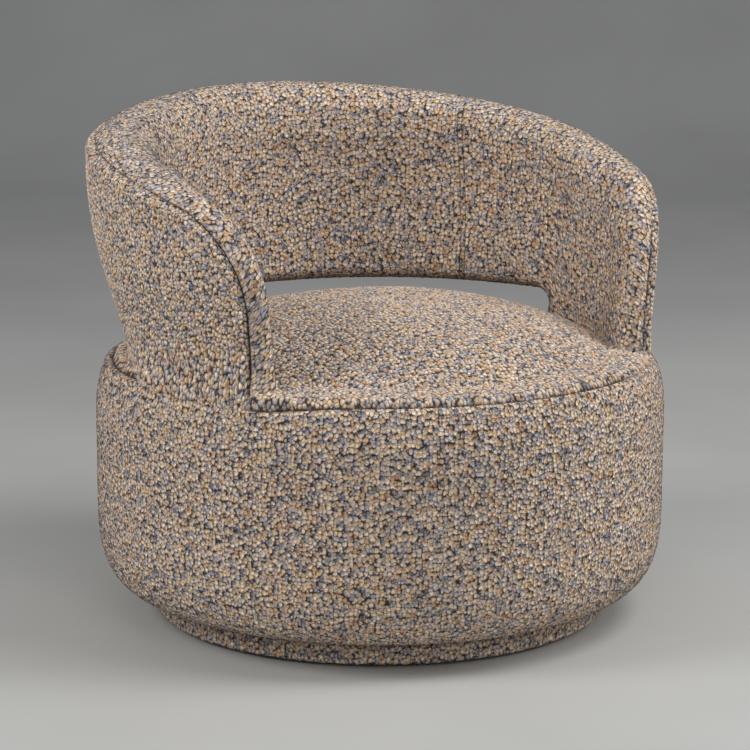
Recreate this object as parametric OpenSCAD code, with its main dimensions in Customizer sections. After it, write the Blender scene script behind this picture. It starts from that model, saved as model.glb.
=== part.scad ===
// Swivel lounge chair: an upholstered drum on a recessed round plinth, a domed tight seat,
// and one curved band that makes the back and both arms, with an open slot under the back.
// Z is up, the origin is on the floor on the swivel axis, and the sitter faces -Y.
// Angles along the band are measured from the middle of the back, towards either arm.

/* [Plinth] */
// Height of the glides that lift the plinth off the floor
glide_h = 5; // [3:0.5:8]
// Diameter of one glide
glide_d = 40; // [25:1:60]
// Number of glides
glide_count = 6; // [4:1:10]
// Diameter of the circle that the glides stand on
glide_circle_d = 500; // [420:5:520]
// Diameter of the plinth over its fabric
plinth_d = 638; // [600:1:660]
// Height of the fabric on the plinth, from its lower edge
plinth_h = 27; // [24:1:34]
// Thickness of the round plinth board
plinth_board_t = 15; // [12:1:18]
// Radial width of the plinth ring
plinth_ring_w = 22; // [16:1:30]
// Thickness of the padding round the plinth ring
plinth_padding_t = 5; // [3:0.5:8]

/* [Swivel] */
// Clear height that the ball race takes between the two boards
race_h = 20; // [19:0.5:24]
// Thickness of the pressed steel plates
sheet_t = 2.5; // [2:0.1:3]
// Side of the square race plates
plate_w = 230; // [215:1:260]
// Diameter of the circle that the balls run on
ball_circle_d = 180; // [140:1:184]
// Diameter of one ball
ball_d = 9.5; // [8:0.5:10]
// Number of balls
ball_count = 24; // [12:1:36]
// Diameter of the centre pin in the upper plate
pin_d = 16; // [10:1:24]
// Radial running clearance of the pin in the upper plate
pin_clear = 0.08; // [0.05:0.01:0.1]
// Distance between the plate bolts along one side of the square
bolt_square = 190; // [180:1:200]
// Diameter of the plate bolts
bolt_d = 6; // [5:1:8]

/* [Drum] */
// Diameter of the drum over its fabric
drum_d = 800; // [760:5:860]
// Gap between the top of the plinth and the underside of the drum
drum_gap = 4.5; // [3.5:0.5:8]
// Width of the rounded lower edge of the drum
corner_w = 104; // [90:1:110]
// Height of the rounded lower edge of the drum
corner_h = 136; // [110:1:160]
// Fullness of the rounded lower edge, where 2 is an ellipse
corner_power = 3.1; // [2.4:0.1:3.6]
// Width of the rounded shoulder of the drum
shoulder_w = 23; // [18:1:28]
// Height of the rounded shoulder of the drum
shoulder_h = 70; // [50:1:90]
// Thickness of the padding on the side of the drum
padding_t = 22; // [16:1:28]

/* [Drum frame] */
// Diameter of the board that carries the drum
base_board_d = 630; // [600:5:630]
// Thickness of the board that carries the drum
base_board_t = 18; // [15:1:22]
// Thickness of the upright ribs
rib_t = 18; // [12:1:22]
// Radial width of the ring on top of the ribs
top_ring_w = 64; // [56:1:70]
// Thickness of the ring on top of the ribs
top_ring_t = 18; // [12:1:22]
// Thickness of the bent hoop round the ribs
hoop_t = 4; // [3:0.5:6]
// Distance from the top of the ring up to the seat seam
ring_drop = 25; // [22:1:40]

/* [Seat] */
// Height of the seam between the seat and the drum
seam_h = 366; // [350:1:390]
// Rise of the rim of the seat above the seam
ledge_rise = 13; // [6:1:18]
// Rise of the crown of the seat above the rim
crown_rise = 65; // [45:1:80]
// Diameter of the crowned part of the seat
crown_d = 640; // [600:5:660]
// Fullness of the crown, where 2 is a parabola
crown_power = 2.7; // [2:0.1:4]
// Width of one webbing strap
web_w = 50; // [40:1:60]
// Thickness of one webbing strap
web_t = 1.5; // [1:0.1:2]
// Distance between the middles of neighbouring straps
web_pitch = 88; // [78:1:96]
// Number of straps each way
web_count = 5; // [3:2:5]

/* [Back and arms] */
// Height of the crest in the middle of the back
crest_h = 721; // [680:1:760]
// Fall of the crest from the middle of the back to a quarter turn away
crest_drop = 70; // [50:1:95]
// How late the crest falls, where 1 is an even slope
crest_power = 1.8; // [1.2:0.1:2.2]
// Angle from the middle of the back to the foot of an arm's front edge
front_angle = 127; // [122:0.5:132]
// How far the front edge leans back over the height of the arm
front_lean = 18; // [0:1:40]
// Length along the crest that the rounded front corner takes
corner_run = 100; // [70:1:120]
// Depth that the rounded front corner takes down the front edge
corner_fall = 115; // [80:1:130]
// Angle from the middle of the back to the end of the slot, in the middle of the band
slot_angle = 80; // [74:0.5:84]
// How far the end of the slot turns back on the outside and forward on the inside
slot_skew = 6; // [0:0.5:8]
// Height of the slot above the rim of the seat
slot_h = 44; // [36:1:56]
// Radius of the slot's upper corners
slot_corner = 24; // [14:1:30]
// Thickness of the back at its foot
back_thick = 62; // [60:1:70]
// Thickness of the arms at their front foot
arm_thick = 50; // [50:1:60]
// How much thicker the back is near the crest
crest_swell = 33; // [20:1:36]
// How much thicker the arms are near the crest
arm_swell = 8; // [0:1:16]
// Outer radius of the back at its foot
back_foot_r = 338; // [334:1:350]
// Outer radius of the arms at their foot
arm_foot_r = 376; // [370:1:376]
// Outer radius of the back near the crest
back_top_r = 409; // [395:1:420]
// Outer radius of the arms near the crest
arm_top_r = 392; // [384:1:405]
// Height over which the outside of the band flares
flare_h = 260; // [220:1:280]
// Distance from the crest over which the band rounds off
edge_round = 38; // [30:1:44]
// Distance from the crest and the front edge over which the arms round off
arm_round = 52; // [38:1:54]
// Distance from the slot over which the band rounds off
slot_round = 20; // [14:1:24]
// Distance of the outside seam from the crest
seam_drop = 15; // [14:1:20]
// Distance of the outside seam from the front edge
front_seam_drop = 23; // [20:1:30]

/* [Back frame] */
// Thickness of the bent plywood panel
panel_t = 12; // [9:1:12]
// Distance from the middle of the band out to the panel
panel_out = 6; // [5:0.5:6]
// Distance of the panel's edge from the crest
panel_inset = 34; // [33:1:38]
// How far the posts that carry the panel rise above the rim of the seat
post_rise = 151; // [121:1:161]
// How far the posts reach below the ring on top of the ribs
post_reach = 123; // [110:1:140]
// Width of a post along the band
post_w = 45; // [36:1:50]
// Depth of a post across the band
post_t = 20; // [16:1:20]
// Angle of the rear posts from the middle of the back
rear_post_angle = 99; // [98.5:0.25:99.5]
// Angle of the front posts from the middle of the back
front_post_angle = 115; // [114:0.5:116]
// Diameter of the bolts through posts and ribs
post_bolt_d = 8; // [6:1:8]

/* [Covers] */
// Thickness of the upholstery fabric
cover_t = 3; // [2:0.1:3.4]
// Gap that is left between neighbouring soft and hard pieces
fit = 0.3; // [0.2:0.05:0.4]

/* [Hidden] */

// Levels of the plinth and the swivel
board_z = glide_h;
board_top = board_z + plinth_board_t;
plinth_top = glide_h + plinth_h;
plinth_r = plinth_d / 2;
plinth_ring_r = plinth_r - cover_t - plinth_padding_t - 2 * fit;
plinth_board_r = plinth_ring_r - plinth_ring_w - fit;
race_mid = board_top + race_h / 2;
ball_circle_r = ball_circle_d / 2;
base_z = board_top + race_h;
base_top = base_z + base_board_t;
lining_t = 0.8;

// Fasteners of the swivel
head_h = 3.5;
head_d = 2 * bolt_d;
hole_d = bolt_d + 0.5;
tee_barrel_d = bolt_d + 2;
tee_barrel_h = 9;
tee_flange_d = 19;
tee_flange_t = 1.3;
thread_clear = 0.1;
screw_d = 4;
screw_head_d = 8;
pin_head_d = pin_d + 10;
pin_head_t = 3;
pin_shoulder_d = pin_d + 6;
washer_t = 1;

// Pressed race section, measured from the back of the plate
groove_r = ball_d / 2 + 0.1;
lip_h = race_h / 2 - groove_r * cos(50) + 0.3;
race_half_w = 13;
lip_in = 4.9;
lip_out = 6.4;
lip_foot = 9.5;
under_foot = 8.4;
plate_corner_r = plate_w * 0.64;
cage_t = 1.6;
cage_half_w = ball_d / 2 + 2.25;

// Levels and radii of the drum
drum_r = drum_d / 2;
drum_floor = plinth_top + drum_gap;
seam_r = drum_r - shoulder_w;
side_foot = drum_floor + corner_h;
side_head = seam_h - shoulder_h;
ring_top = seam_h - ring_drop;
ring_bottom = ring_top - top_ring_t;
hoop_r = drum_r - cover_t - padding_t - 2 * fit;
ring_r = hoop_r - hoop_t - fit;
ring_in_r = ring_r - top_ring_w;
hoop_bottom = side_foot - 30;
rib_inset = padding_t + cover_t + hoop_t + 2 * fit;
cover_turn_in = 60;

// Levels of the seat
ledge_h = seam_h + ledge_rise;
crown_r = crown_d / 2;
web_lift = (web_t + 0.5) / 2;
web_z = ring_top + fit + web_t / 2 + web_lift;
foam_z = web_z + web_lift + web_t / 2 + fit;

// Middle radius on which lengths along the band are measured
band_r = 350;
arc = band_r * PI / 180;
land = 1.5;
foot_fade = 50;
panel_skin = 12;
bevel_w = 16;
foam_lift = 3;
screw_sink = 2;
post_clear = 2;
slot_relief = 1.5;
panel_gap = 1.5;
slot_end_lift = 2;

// Angles at which the back turns into an arm: where each change starts, and over how many degrees
turn_a = 60;
turn_over = 45;
thin_a = 88;
thin_over = 28;
swell_a = 95;
swell_over = 30;
round_a = 92;
round_over = 26;

// How far from the slot's end its skew fades, along the band and upwards, and where layers lift
skew_run = 150;
skew_rise = 110;
lift_run = 40;
foot_back = 105;

// Posts, and angles of the posts and of the plain ribs
post_top = ledge_h + post_rise;
post_bottom = ring_bottom - post_reach;
post_gap = 2.8;
post_angles = [rear_post_angle, front_post_angle];
rib_angles = [0, 46, -46, 150, -150, 180];
post_hole_drop = 27;
post_hole_pitch = 56;
panel_screw_rise = 57;
panel_screw_pitch = 56;
slant_rise = 71;
post_hole_zs = [ring_bottom - post_hole_drop - post_hole_pitch, ring_bottom - post_hole_drop];
panel_screw_zs = [ledge_h + panel_screw_rise, ledge_h + panel_screw_rise + panel_screw_pitch];
slant_z = ledge_h + slant_rise;
slant_turn = 2;
post_tip = 30;

// Bolts of the posts
washer_d = post_bolt_d * 2;
post_washer_t = 1.6;
nut_h = 6.5;
nut_d = post_bolt_d + 5;
post_head_h = 5.3;
post_bolt_clear = 0.4;
bolt_end = 2;

// Lengths of the wood screws, and how deep their heads sink
glide_screw_l = glide_h / 2 + plinth_board_t - 3.5;
foot_screw_l = base_board_t + 20;
ring_screw_l = top_ring_t + 22;
panel_screw_l = panel_t + 12;
head_sink = 2;
pilot = 0.1;
pilot_l = 30;

// Helpers
function clamp01(x) = max(0, min(1, x));
function smooth(x) = let (c = clamp01(x)) c * c * (3 - 2 * c);
function mix(a, b, t) = a + (b - a) * t;
function reversed(list) = [for (i = [len(list) - 1 : -1 : 0]) list[i]];

module ring(r_out, r_in, h, z = 0) {
    translate([0, 0, z])
    difference() {
        cylinder(r = r_out, h = h, $fn = 96);
        translate([0, 0, -1]) cylinder(r = r_in, h = h + 2, $fn = 96);
    }
}

module around(count, r, turn = 0) {
    for (i = [0 : count - 1])
        rotate([0, 0, turn + i * 360 / count]) translate([r, 0, 0]) children();
}

module at_square(w) {
    for (x = [-1, 1], y = [-1, 1]) translate([x * w / 2, y * w / 2, 0]) children();
}

// Plinth
module floor_glides() {
    color("dimgray")
    around(glide_count, glide_circle_d / 2)
    difference() {
        rotate_extrude($fn = 48)
        polygon([[0, 0], [glide_d / 2 - 1.5, 0], [glide_d / 2, 1.5], [glide_d / 2, glide_h], [0, glide_h]]);
        translate([0, 0, -1]) cylinder(d = screw_d + 0.4, h = glide_h + 2, $fn = 24);
        translate([0, 0, -1]) cylinder(d = screw_head_d + 1, h = glide_h / 2 + 1, $fn = 24);
    }
}

module glide_screws() {
    color("silver")
    around(glide_count, glide_circle_d / 2)
    translate([0, 0, glide_h / 2])
    rotate([180, 0, 0]) wood_screw(glide_screw_l, glide_h / 2 - 1);
}

// A countersunk screw with its head's face at z = head and its point at -length
module wood_screw(length, head = 2) {
    cylinder(d = screw_head_d, h = head, $fn = 24);
    translate([0, 0, -length + 4]) cylinder(d = screw_d, h = length - 4 + head / 2, $fn = 24);
    translate([0, 0, -length]) cylinder(d1 = 0.8, d2 = screw_d, h = 4, $fn = 24);
}

module plinth_board() {
    color("burlywood")
    difference() {
        translate([0, 0, board_z]) cylinder(r = plinth_board_r, h = plinth_board_t, $fn = 96);
        around(glide_count, glide_circle_d / 2)
            translate([0, 0, board_z - 1]) cylinder(d = screw_d + pilot, h = plinth_board_t - 1, $fn = 24);
        at_square(bolt_square) {
            translate([0, 0, board_z - 1])
                cylinder(d = tee_barrel_d + 0.2, h = plinth_board_t + 2, $fn = 24);
            translate([0, 0, board_z - 1]) cylinder(d = tee_flange_d + 1, h = tee_flange_t + 1, $fn = 32);
        }
        translate([0, 0, board_top - pin_head_t - fit])
            cylinder(d = pin_head_d + 1, h = pin_head_t + 1, $fn = 48);
    }
}

module plinth_ring() {
    color("burlywood")
    ring(plinth_ring_r, plinth_ring_r - plinth_ring_w, plinth_h - 2 * (cover_t + fit),
         glide_h + cover_t + fit);
}

module plinth_padding() {
    color("ivory")
    ring(plinth_ring_r + fit + plinth_padding_t, plinth_ring_r + fit,
         plinth_h - 2 * (cover_t + fit), glide_h + cover_t + fit);
}

// The plinth's fabric is a channel that turns in over the top and under the foot of the ring
module plinth_cover() {
    top_in = plinth_ring_r - plinth_ring_w + 4;
    foot_in = plinth_board_r + fit + 3;
    color("tan")
    rotate_extrude($fn = 120)
    polygon(concat(
        [[foot_in, glide_h], [plinth_r - 3, glide_h]],
        [for (t = [-60 : 30 : 0]) [plinth_r - 3 + 3 * cos(t), glide_h + 3 + 3 * sin(t)]],
        [for (t = [0 : 30 : 90]) [plinth_r - 3 + 3 * cos(t), plinth_top - 3 + 3 * sin(t)]],
        [[top_in, plinth_top], [top_in, plinth_top - cover_t],
         [plinth_r - cover_t, plinth_top - cover_t], [plinth_r - cover_t, glide_h + cover_t],
         [foot_in, glide_h + cover_t]]));
}

module plinth_underlining() {
    color("black")
    difference() {
        translate([0, 0, board_z - lining_t - 0.1])
            cylinder(r = plinth_board_r - 4, h = lining_t, $fn = 96);
        around(glide_count, glide_circle_d / 2)
            translate([0, 0, board_z - lining_t - 1]) cylinder(d = glide_d + 1, h = 3, $fn = 32);
    }
}

// Swivel: two square pressed plates whose pressed tracks face each other round one row of balls
module race_plate_outline() {
    intersection() {
        square(plate_w, center = true);
        circle(r = plate_corner_r, $fn = 96);
    }
}

module race_plate(bore) {
    arcs = [for (t = [-50 : 10 : 50]) [groove_r * sin(t), race_h / 2 - groove_r * cos(t)]];
    under = [for (t = [32 : -16 : -32])
        [(groove_r + sheet_t) * sin(t), race_h / 2 - (groove_r + sheet_t) * cos(t)]];
    difference() {
        union() {
            difference() {
                linear_extrude(sheet_t) race_plate_outline();
                translate([0, 0, -1])
                    cylinder(r = ball_circle_r + race_half_w, h = sheet_t + 2, $fn = 96);
            }
            cylinder(r = ball_circle_r - race_half_w, h = sheet_t, $fn = 96);
            rotate_extrude($fn = 96) translate([ball_circle_r, 0])
            polygon(concat(
                [[-race_half_w, 0], [-race_half_w, sheet_t], [-lip_foot, sheet_t], [-lip_out, lip_h],
                 [-lip_in, lip_h]],
                arcs,
                [[lip_in, lip_h], [lip_out, lip_h], [lip_foot, sheet_t], [race_half_w, sheet_t],
                 [race_half_w, 0], [under_foot, 0]],
                under, [[-under_foot, 0]]));
        }
        translate([0, 0, -1]) cylinder(d = bore, h = sheet_t + 2, $fn = 64);
        at_square(bolt_square) translate([0, 0, -1]) cylinder(d = hole_d, h = sheet_t + 2, $fn = 24);
    }
}

module lower_race_plate() {
    color("silver")
    translate([0, 0, board_top]) race_plate(pin_d + 2 * pin_clear);
}

module upper_race_plate() {
    color("silver")
    translate([0, 0, base_z]) mirror([0, 0, 1]) race_plate(pin_d + 2 * pin_clear);
}

// A pan head bolt with the underside of its head at z = 0
module plate_bolt(length) {
    rotate_extrude($fn = 32)
    polygon([[0, -length], [bolt_d / 2 - 0.5, -length], [bolt_d / 2, -length + 0.5], [bolt_d / 2, 0],
             [head_d / 2, 0], [head_d / 2, head_h - 1.2], [head_d / 2 - 1.2, head_h], [0, head_h]]);
}

// A tee nut with the face of its flange at z = 0 and its barrel going up
module tee_nut() {
    difference() {
        union() {
            cylinder(d = tee_flange_d, h = tee_flange_t, $fn = 32);
            cylinder(d = tee_barrel_d, h = tee_barrel_h, $fn = 32);
        }
        translate([0, 0, -1]) cylinder(d = bolt_d + thread_clear, h = tee_barrel_h + 2, $fn = 32);
    }
}

module lower_plate_bolts() {
    color("gray")
    at_square(bolt_square)
    translate([0, 0, board_top + sheet_t]) plate_bolt(plinth_board_t + sheet_t - 2);
}

module lower_tee_nuts() {
    color("silver")
    at_square(bolt_square) translate([0, 0, board_z]) tee_nut();
}

module upper_plate_bolts() {
    color("gray")
    at_square(bolt_square)
    translate([0, 0, base_z - sheet_t]) mirror([0, 0, 1]) plate_bolt(base_board_t + sheet_t - 2);
}

module upper_tee_nuts() {
    color("silver")
    at_square(bolt_square) translate([0, 0, base_top]) mirror([0, 0, 1]) tee_nut();
}

// The riveted pin holds both plates together and the seat turns on its upper journal
module centre_pin() {
    low = board_top - pin_head_t;
    shoulder = board_top + sheet_t + 0.05;
    journal = base_z - sheet_t - 0.3;
    head = base_z + washer_t + 0.1;
    color("dimgray")
    rotate_extrude($fn = 64)
    polygon([[0, low], [pin_head_d / 2, low], [pin_head_d / 2, board_top - 0.1], [pin_d / 2, board_top - 0.1],
             [pin_d / 2, shoulder], [pin_shoulder_d / 2, shoulder], [pin_shoulder_d / 2, journal],
             [pin_d / 2, journal], [pin_d / 2, head], [pin_head_d / 2, head],
             [pin_head_d / 2 - 1.5, head + pin_head_t], [0, head + pin_head_t]]);
}

module pin_washer() {
    color("white")
    ring(pin_head_d / 2, pin_d / 2 + pin_clear, washer_t, base_z + 0.05);
}

module bearing_balls() {
    color("silver")
    around(ball_count, ball_circle_r) translate([0, 0, race_mid]) sphere(d = ball_d, $fn = 32);
}

module ball_cage() {
    color("darkgray")
    difference() {
        ring(ball_circle_r + cage_half_w, ball_circle_r - cage_half_w, cage_t, race_mid - cage_t / 2);
        around(ball_count, ball_circle_r)
            translate([0, 0, race_mid - cage_t]) cylinder(d = ball_d + 0.3, h = 2 * cage_t, $fn = 32);
    }
}

// Radius of the outside of the drum at a height on its rounded lower edge
function corner_r(z) = let (x = clamp01((side_foot - z) / corner_h))
    drum_r - corner_w + corner_w * pow(1 - pow(x, corner_power), 1 / corner_power);

// Outline of the drum from its underside up to the seat seam, moved inwards by a distance
function drum_outline(inset) = let (w = corner_w - inset, h = corner_h - inset, n = corner_power)
    concat(
        [for (t = [6 : 7 : 90])
            [drum_r - corner_w + w * pow(sin(t), 2 / n), side_foot - h * pow(cos(t), 2 / n)]],
        [for (t = [0 : 10 : 90])
            [seam_r + (shoulder_w - inset) * cos(t), side_head + (shoulder_h - inset) * sin(t)]]);

// Drum frame
module base_board() {
    color("burlywood")
    difference() {
        translate([0, 0, base_z]) cylinder(d = base_board_d, h = base_board_t, $fn = 120);
        translate([0, 0, base_z - 1]) cylinder(d = pin_head_d + 12, h = base_board_t + 2, $fn = 48);
        at_square(bolt_square) {
            translate([0, 0, base_z - 1]) cylinder(d = tee_barrel_d + 0.2, h = base_board_t + 2, $fn = 24);
            translate([0, 0, base_top - tee_flange_t]) cylinder(d = tee_flange_d + 1, h = 3, $fn = 32);
        }
        foot_screw_places() {
            translate([0, 0, -1]) cylinder(d = screw_d + 2 * pilot, h = base_board_t + 2, $fn = 24);
            translate([0, 0, -1]) cylinder(d = screw_head_d + 0.4, h = head_sink + 1.2, $fn = 24);
        }
    }
}

rib_foot_r = 250;
rib_neck_r = ring_in_r + 14;
rib_screw_r = base_board_d / 2 - 35;
ring_screw_r = ring_r - 12;
rib_neck_drop = 24;
rib_neck_rise = 70;
rib_toe = 14;
rib_zs = [for (i = [0 : 8]) mix(base_top, hoop_bottom, i / 8)];
side_rib_y = (post_w + rib_t) / 2 + fit;
side_rib_in = ring_r - sqrt(pow(ring_r, 2) - pow(side_rib_y + rib_t / 2, 2));

// Radius of the outer edge of the ribs at a height below the hoop
function rib_r(z) = min(corner_r(z) - rib_inset, ring_r);

// One rib in its own plane: X is the distance from the axis, Y is up
module rib_outline() {
    polygon(concat(
        [[rib_foot_r, base_top]], [for (z = rib_zs) [rib_r(z), z]],
        [[ring_r, hoop_bottom + 1], [ring_r, ring_bottom], [ring_in_r, ring_bottom],
         [rib_neck_r, ring_bottom - rib_neck_drop], [rib_neck_r, base_top + rib_neck_rise],
         [rib_foot_r, base_top + rib_toe]]));
}

module rib() {
    difference() {
        rotate([90, 0, 0]) translate([0, 0, -rib_t / 2]) linear_extrude(rib_t) rib_outline();
        translate([rib_screw_r, 0, base_top - 1]) cylinder(d = screw_d + pilot, h = pilot_l, $fn = 24);
        translate([ring_screw_r, 0, ring_bottom - pilot_l])
            cylinder(d = screw_d + pilot, h = pilot_l + 1, $fn = 24);
    }
}

// Places of all ribs: plain ones, and one beside each post on its rear side
module rib_places() {
    for (a = rib_angles) rotate([0, 0, 90 - a]) children();
    for (side = [-1, 1], a = post_angles)
        rotate([0, 0, 90 - side * a]) translate([-side_rib_in, side * side_rib_y, 0]) children();
}

module foot_screw_places() {
    rib_places() translate([rib_screw_r, 0, base_z]) children();
}

module ring_screw_places() {
    rib_places() translate([ring_screw_r, 0, ring_top]) children();
}

module frame_ribs() {
    color("burlywood")
    difference() {
        rib_places() rib();
        post_bolt_places() rotate([90, 0, 0])
            cylinder(d = post_bolt_d + post_bolt_clear, h = 3 * post_w, center = true, $fn = 24);
    }
}

module top_ring() {
    color("burlywood")
    difference() {
        ring(ring_r, ring_in_r, top_ring_t, ring_bottom);
        posts(post_clear);
        ring_screw_places() {
            translate([0, 0, -top_ring_t - 1])
                cylinder(d = screw_d + 2 * pilot, h = top_ring_t + 2, $fn = 24);
            translate([0, 0, -head_sink]) cylinder(d = screw_head_d + 0.4, h = 2 * head_sink, $fn = 24);
        }
    }
}

module frame_screws() {
    color("goldenrod") {
        ring_screw_places() translate([0, 0, -head_sink]) wood_screw(ring_screw_l, head_sink - 0.1);
        foot_screw_places()
            translate([0, 0, head_sink]) mirror([0, 0, 1]) wood_screw(foot_screw_l, head_sink - 0.1);
    }
}

module side_hoop() {
    color("peru")
    ring(hoop_r, hoop_r - hoop_t, ring_top - hoop_bottom, hoop_bottom);
}

// Webbing: each strap rises over one crossing strap and dips under the next
function strap_path(half_len, start_up) = let (flat = web_w / 2 + 2)
    concat(
        [[-half_len, start_up * web_lift]],
        [for (i = [0 : web_count - 1]) let (c = (i - (web_count - 1) / 2) * web_pitch,
             lift = (i % 2 == 0 ? start_up : -start_up) * web_lift)
             each [[c - flat, lift], [c + flat, lift]]],
        [[half_len, start_up * web_lift]]);

module strap(half_len, start_up) {
    path = strap_path(half_len, start_up);
    rotate([90, 0, 0]) translate([0, 0, -web_w / 2]) linear_extrude(web_w)
    polygon(concat([for (p = path) p + [0, web_t / 2]], reversed([for (p = path) p - [0, web_t / 2]])));
}

module strap_row(first_up) {
    reach = ring_in_r + top_ring_w / 2 - 2;
    for (i = [0 : web_count - 1]) {
        y = (i - (web_count - 1) / 2) * web_pitch;
        translate([0, y, web_z])
            strap(sqrt(pow(reach, 2) - pow(abs(y) + web_w / 2, 2)), (i % 2 == 0 ? 1 : -1) * first_up);
    }
}

module webbing_crosswise() {
    color("darkkhaki") strap_row(1);
}

module webbing_lengthwise() {
    color("khaki") rotate([0, 0, 90]) strap_row(-1);
}

// Height of the top of the seat at a distance from the axis
function seat_z(r) = r < crown_r
    ? ledge_h + crown_rise * (1 - pow(r / crown_r, crown_power))
    : ledge_h - ledge_rise * pow((r - crown_r) / (seam_r - crown_r), 3);

seat_rows = concat(
    [for (i = [0 : 14]) crown_r * i / 15], [for (i = [0 : 6]) mix(crown_r, seam_r - fit, i / 6)]);

module seat_foam() {
    color("ivory")
    difference() {
        rotate_extrude($fn = 120)
        polygon(concat(
            [[0, foam_z], [ring_r - 8, foam_z]],
            reversed([for (r = seat_rows) if (r < ring_r - 4) [r, seat_z(r) - cover_t - fit]])));
        posts(post_clear);
    }
}

module seat_cover() {
    color("tan")
    difference() {
        rotate_extrude($fn = 120)
        polygon(concat([for (r = seat_rows) [r, seat_z(r) - cover_t]],
                       reversed([for (r = seat_rows) [r, seat_z(r)]])));
        posts(post_clear);
    }
}

module drum_padding() {
    shell = cover_t + fit;
    rib_gap = 2 * fit;
    color("ivory")
    rotate_extrude($fn = 120)
    polygon(concat(
        [for (p = drum_outline(shell)) if (p.x > base_board_d / 2 + fit) p],
        [[ring_r - 2, seam_h - shell - 1], [ring_r - 2, foam_z + 1], [hoop_r + fit, foam_z + 1],
         [hoop_r + fit, hoop_bottom - fit]],
        reversed([for (z = rib_zs) [min(rib_r(z) + rib_gap, hoop_r + fit), z - fit]]),
        [[base_board_d / 2 + fit, base_top - fit]]));
}

// The drum's fabric runs from the seat seam down and turns in under the board
module drum_cover() {
    turn_r = drum_r - corner_w - cover_turn_in;
    color("tan")
    rotate_extrude($fn = 160)
    polygon(concat(
        [[turn_r, drum_floor]], drum_outline(0), reversed(drum_outline(cover_t)),
        [[turn_r, drum_floor + cover_t]]));
}

module underside_cloth() {
    color("black")
    ring(drum_r - corner_w - cover_turn_in - 3, plate_corner_r + 6, lining_t, base_z - lining_t - 0.1);
}

// Rim of the band, drawn flat: X is the distance along the band, Y is the height
function crest_z(a) = crest_h - crest_drop * pow(abs(a) / 90, crest_power);
function front_a(z) = front_angle - front_lean * (z - ledge_h) / (crest_h - ledge_h) / arc;
front_top_z = crest_z(front_angle);
corner_at = front_a(front_top_z) * arc;
corner_from = corner_at - corner_run;
corner_to_z = front_top_z - corner_fall;
function bezier(p, q, r, t) = p * pow(1 - t, 2) + q * 2 * t * (1 - t) + r * t * t;

crest_steps = 9;
corner_steps = 5;
front_steps = 4;
steps = crest_steps + corner_steps + front_steps;

rim = concat(
    [for (i = [0 : crest_steps - 1]) let (s = corner_from * i / crest_steps) [s, crest_z(s / arc)]],
    [for (i = [0 : corner_steps])
        bezier([corner_from, crest_z(corner_from / arc)],
               [corner_at, front_top_z],
               [front_a(corner_to_z) * arc, corner_to_z], i / corner_steps)],
    [for (i = [1 : front_steps]) let (z = mix(corner_to_z, ledge_h, i / front_steps)) [front_a(z) * arc, z]]);

// Foot of the band: along the slot, round its corner, down its end, then along the seat
slot_z = ledge_h + slot_h;
slot_s = slot_angle * arc;
slot_steps = 6;
foot_last = front_angle * arc - foot_back;
foot = concat(
    [for (i = [0 : slot_steps]) [(slot_s - slot_corner) * i / slot_steps, slot_z]],
    [[slot_s - slot_corner * 0.29, slot_z - slot_corner * 0.29], [slot_s, slot_z - slot_corner]],
    [for (i = [0 : steps - slot_steps - 3])
        [mix(slot_s, foot_last, i / (steps - slot_steps - 3)), ledge_h]]);
slot_line = [for (i = [0 : slot_steps + 3]) foot[i]];

function seg_dist(p, a, b) = let (ab = b - a, t = clamp01((p - a) * ab / (ab * ab))) norm(p - a - ab * t);
function line_dist(p, line) = min([for (i = [0 : len(line) - 2]) seg_dist(p, line[i], line[i + 1])]);
function round_off(x) = let (c = clamp01(x)) sqrt(1 - (1 - c) * (1 - c));

// Outside radius and thickness of the band at an angle and a height
function band_out_r(a, z) = let (
    t = smooth((a - turn_a) / turn_over),
    foot_r = mix(back_foot_r, arm_foot_r, t),
    top_r = mix(back_top_r, arm_top_r, t),
    x = clamp01((z - ledge_h) / flare_h))
    foot_r + (top_r - foot_r) * (1 - (1 - x) * (1 - x));
function band_thick(a, z) = mix(back_thick, arm_thick, smooth((a - thin_a) / thin_over))
    + mix(crest_swell, arm_swell, smooth((a - swell_a) / swell_over)) * clamp01((z - ledge_h) / flare_h);
function band_mid_r(a, z) = band_out_r(a, z) - band_thick(a, z) / 2;

// Distance over which the band rounds off at a flat place, and half of the thickness that is
// left there under a skin of a given depth
function rounding(p) = mix(edge_round, arm_round, smooth((p.x / arc - round_a) / round_over));
function half_thick(p, skin) = let (slot_skin = skin + (skin > cover_t ? slot_relief : 0)) max(
    land - skin * 0.3,
    (band_thick(p.x / arc, p.y) / 2 - skin)
    * round_off((line_dist(p, rim) - skin) / (rounding(p) - skin))
    * round_off((line_dist(p, slot_line) - slot_skin) / (slot_round - slot_skin)));

// Inward direction at each point of the rim and of the foot
function square_to(v) = [v.y, -v.x] / norm(v);
rim_in = [for (i = [0 : steps])
    i == 0 ? [0, -1] : i == steps ? [-1, 0] : square_to(rim[i + 1] - rim[i - 1])];
foot_in = [for (i = [0 : steps])
    i <= slot_steps ? [0, 1] : i == slot_steps + 1 ? [0.71, 0.71] : i <= slot_steps + 3 ? [1, 0] : [0, 0]];

// Flat place on line i at a distance down from the rim, under a skin of a given depth
function flat_at(i, d, skin) = let (n = abs(i))
    mix(rim[n] + rim_in[n] * skin, foot[n] + foot_in[n] * skin, d / norm(foot[n] - rim[n]));

// How strongly the end of the slot turns a flat place, from 0 to 1
function near_slot_end(p) =
    smooth(1 - abs(p.x - slot_s) / skew_run) * smooth(1 - (p.y - ledge_h) / skew_rise);

// How far a layer ends above the seat at a flat place
function foot_gap(p, skin) = fit + (skin > cover_t ? foam_lift : 0)
    + slot_end_lift * smooth(1 - abs(p.x - slot_s) / lift_run);

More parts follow.
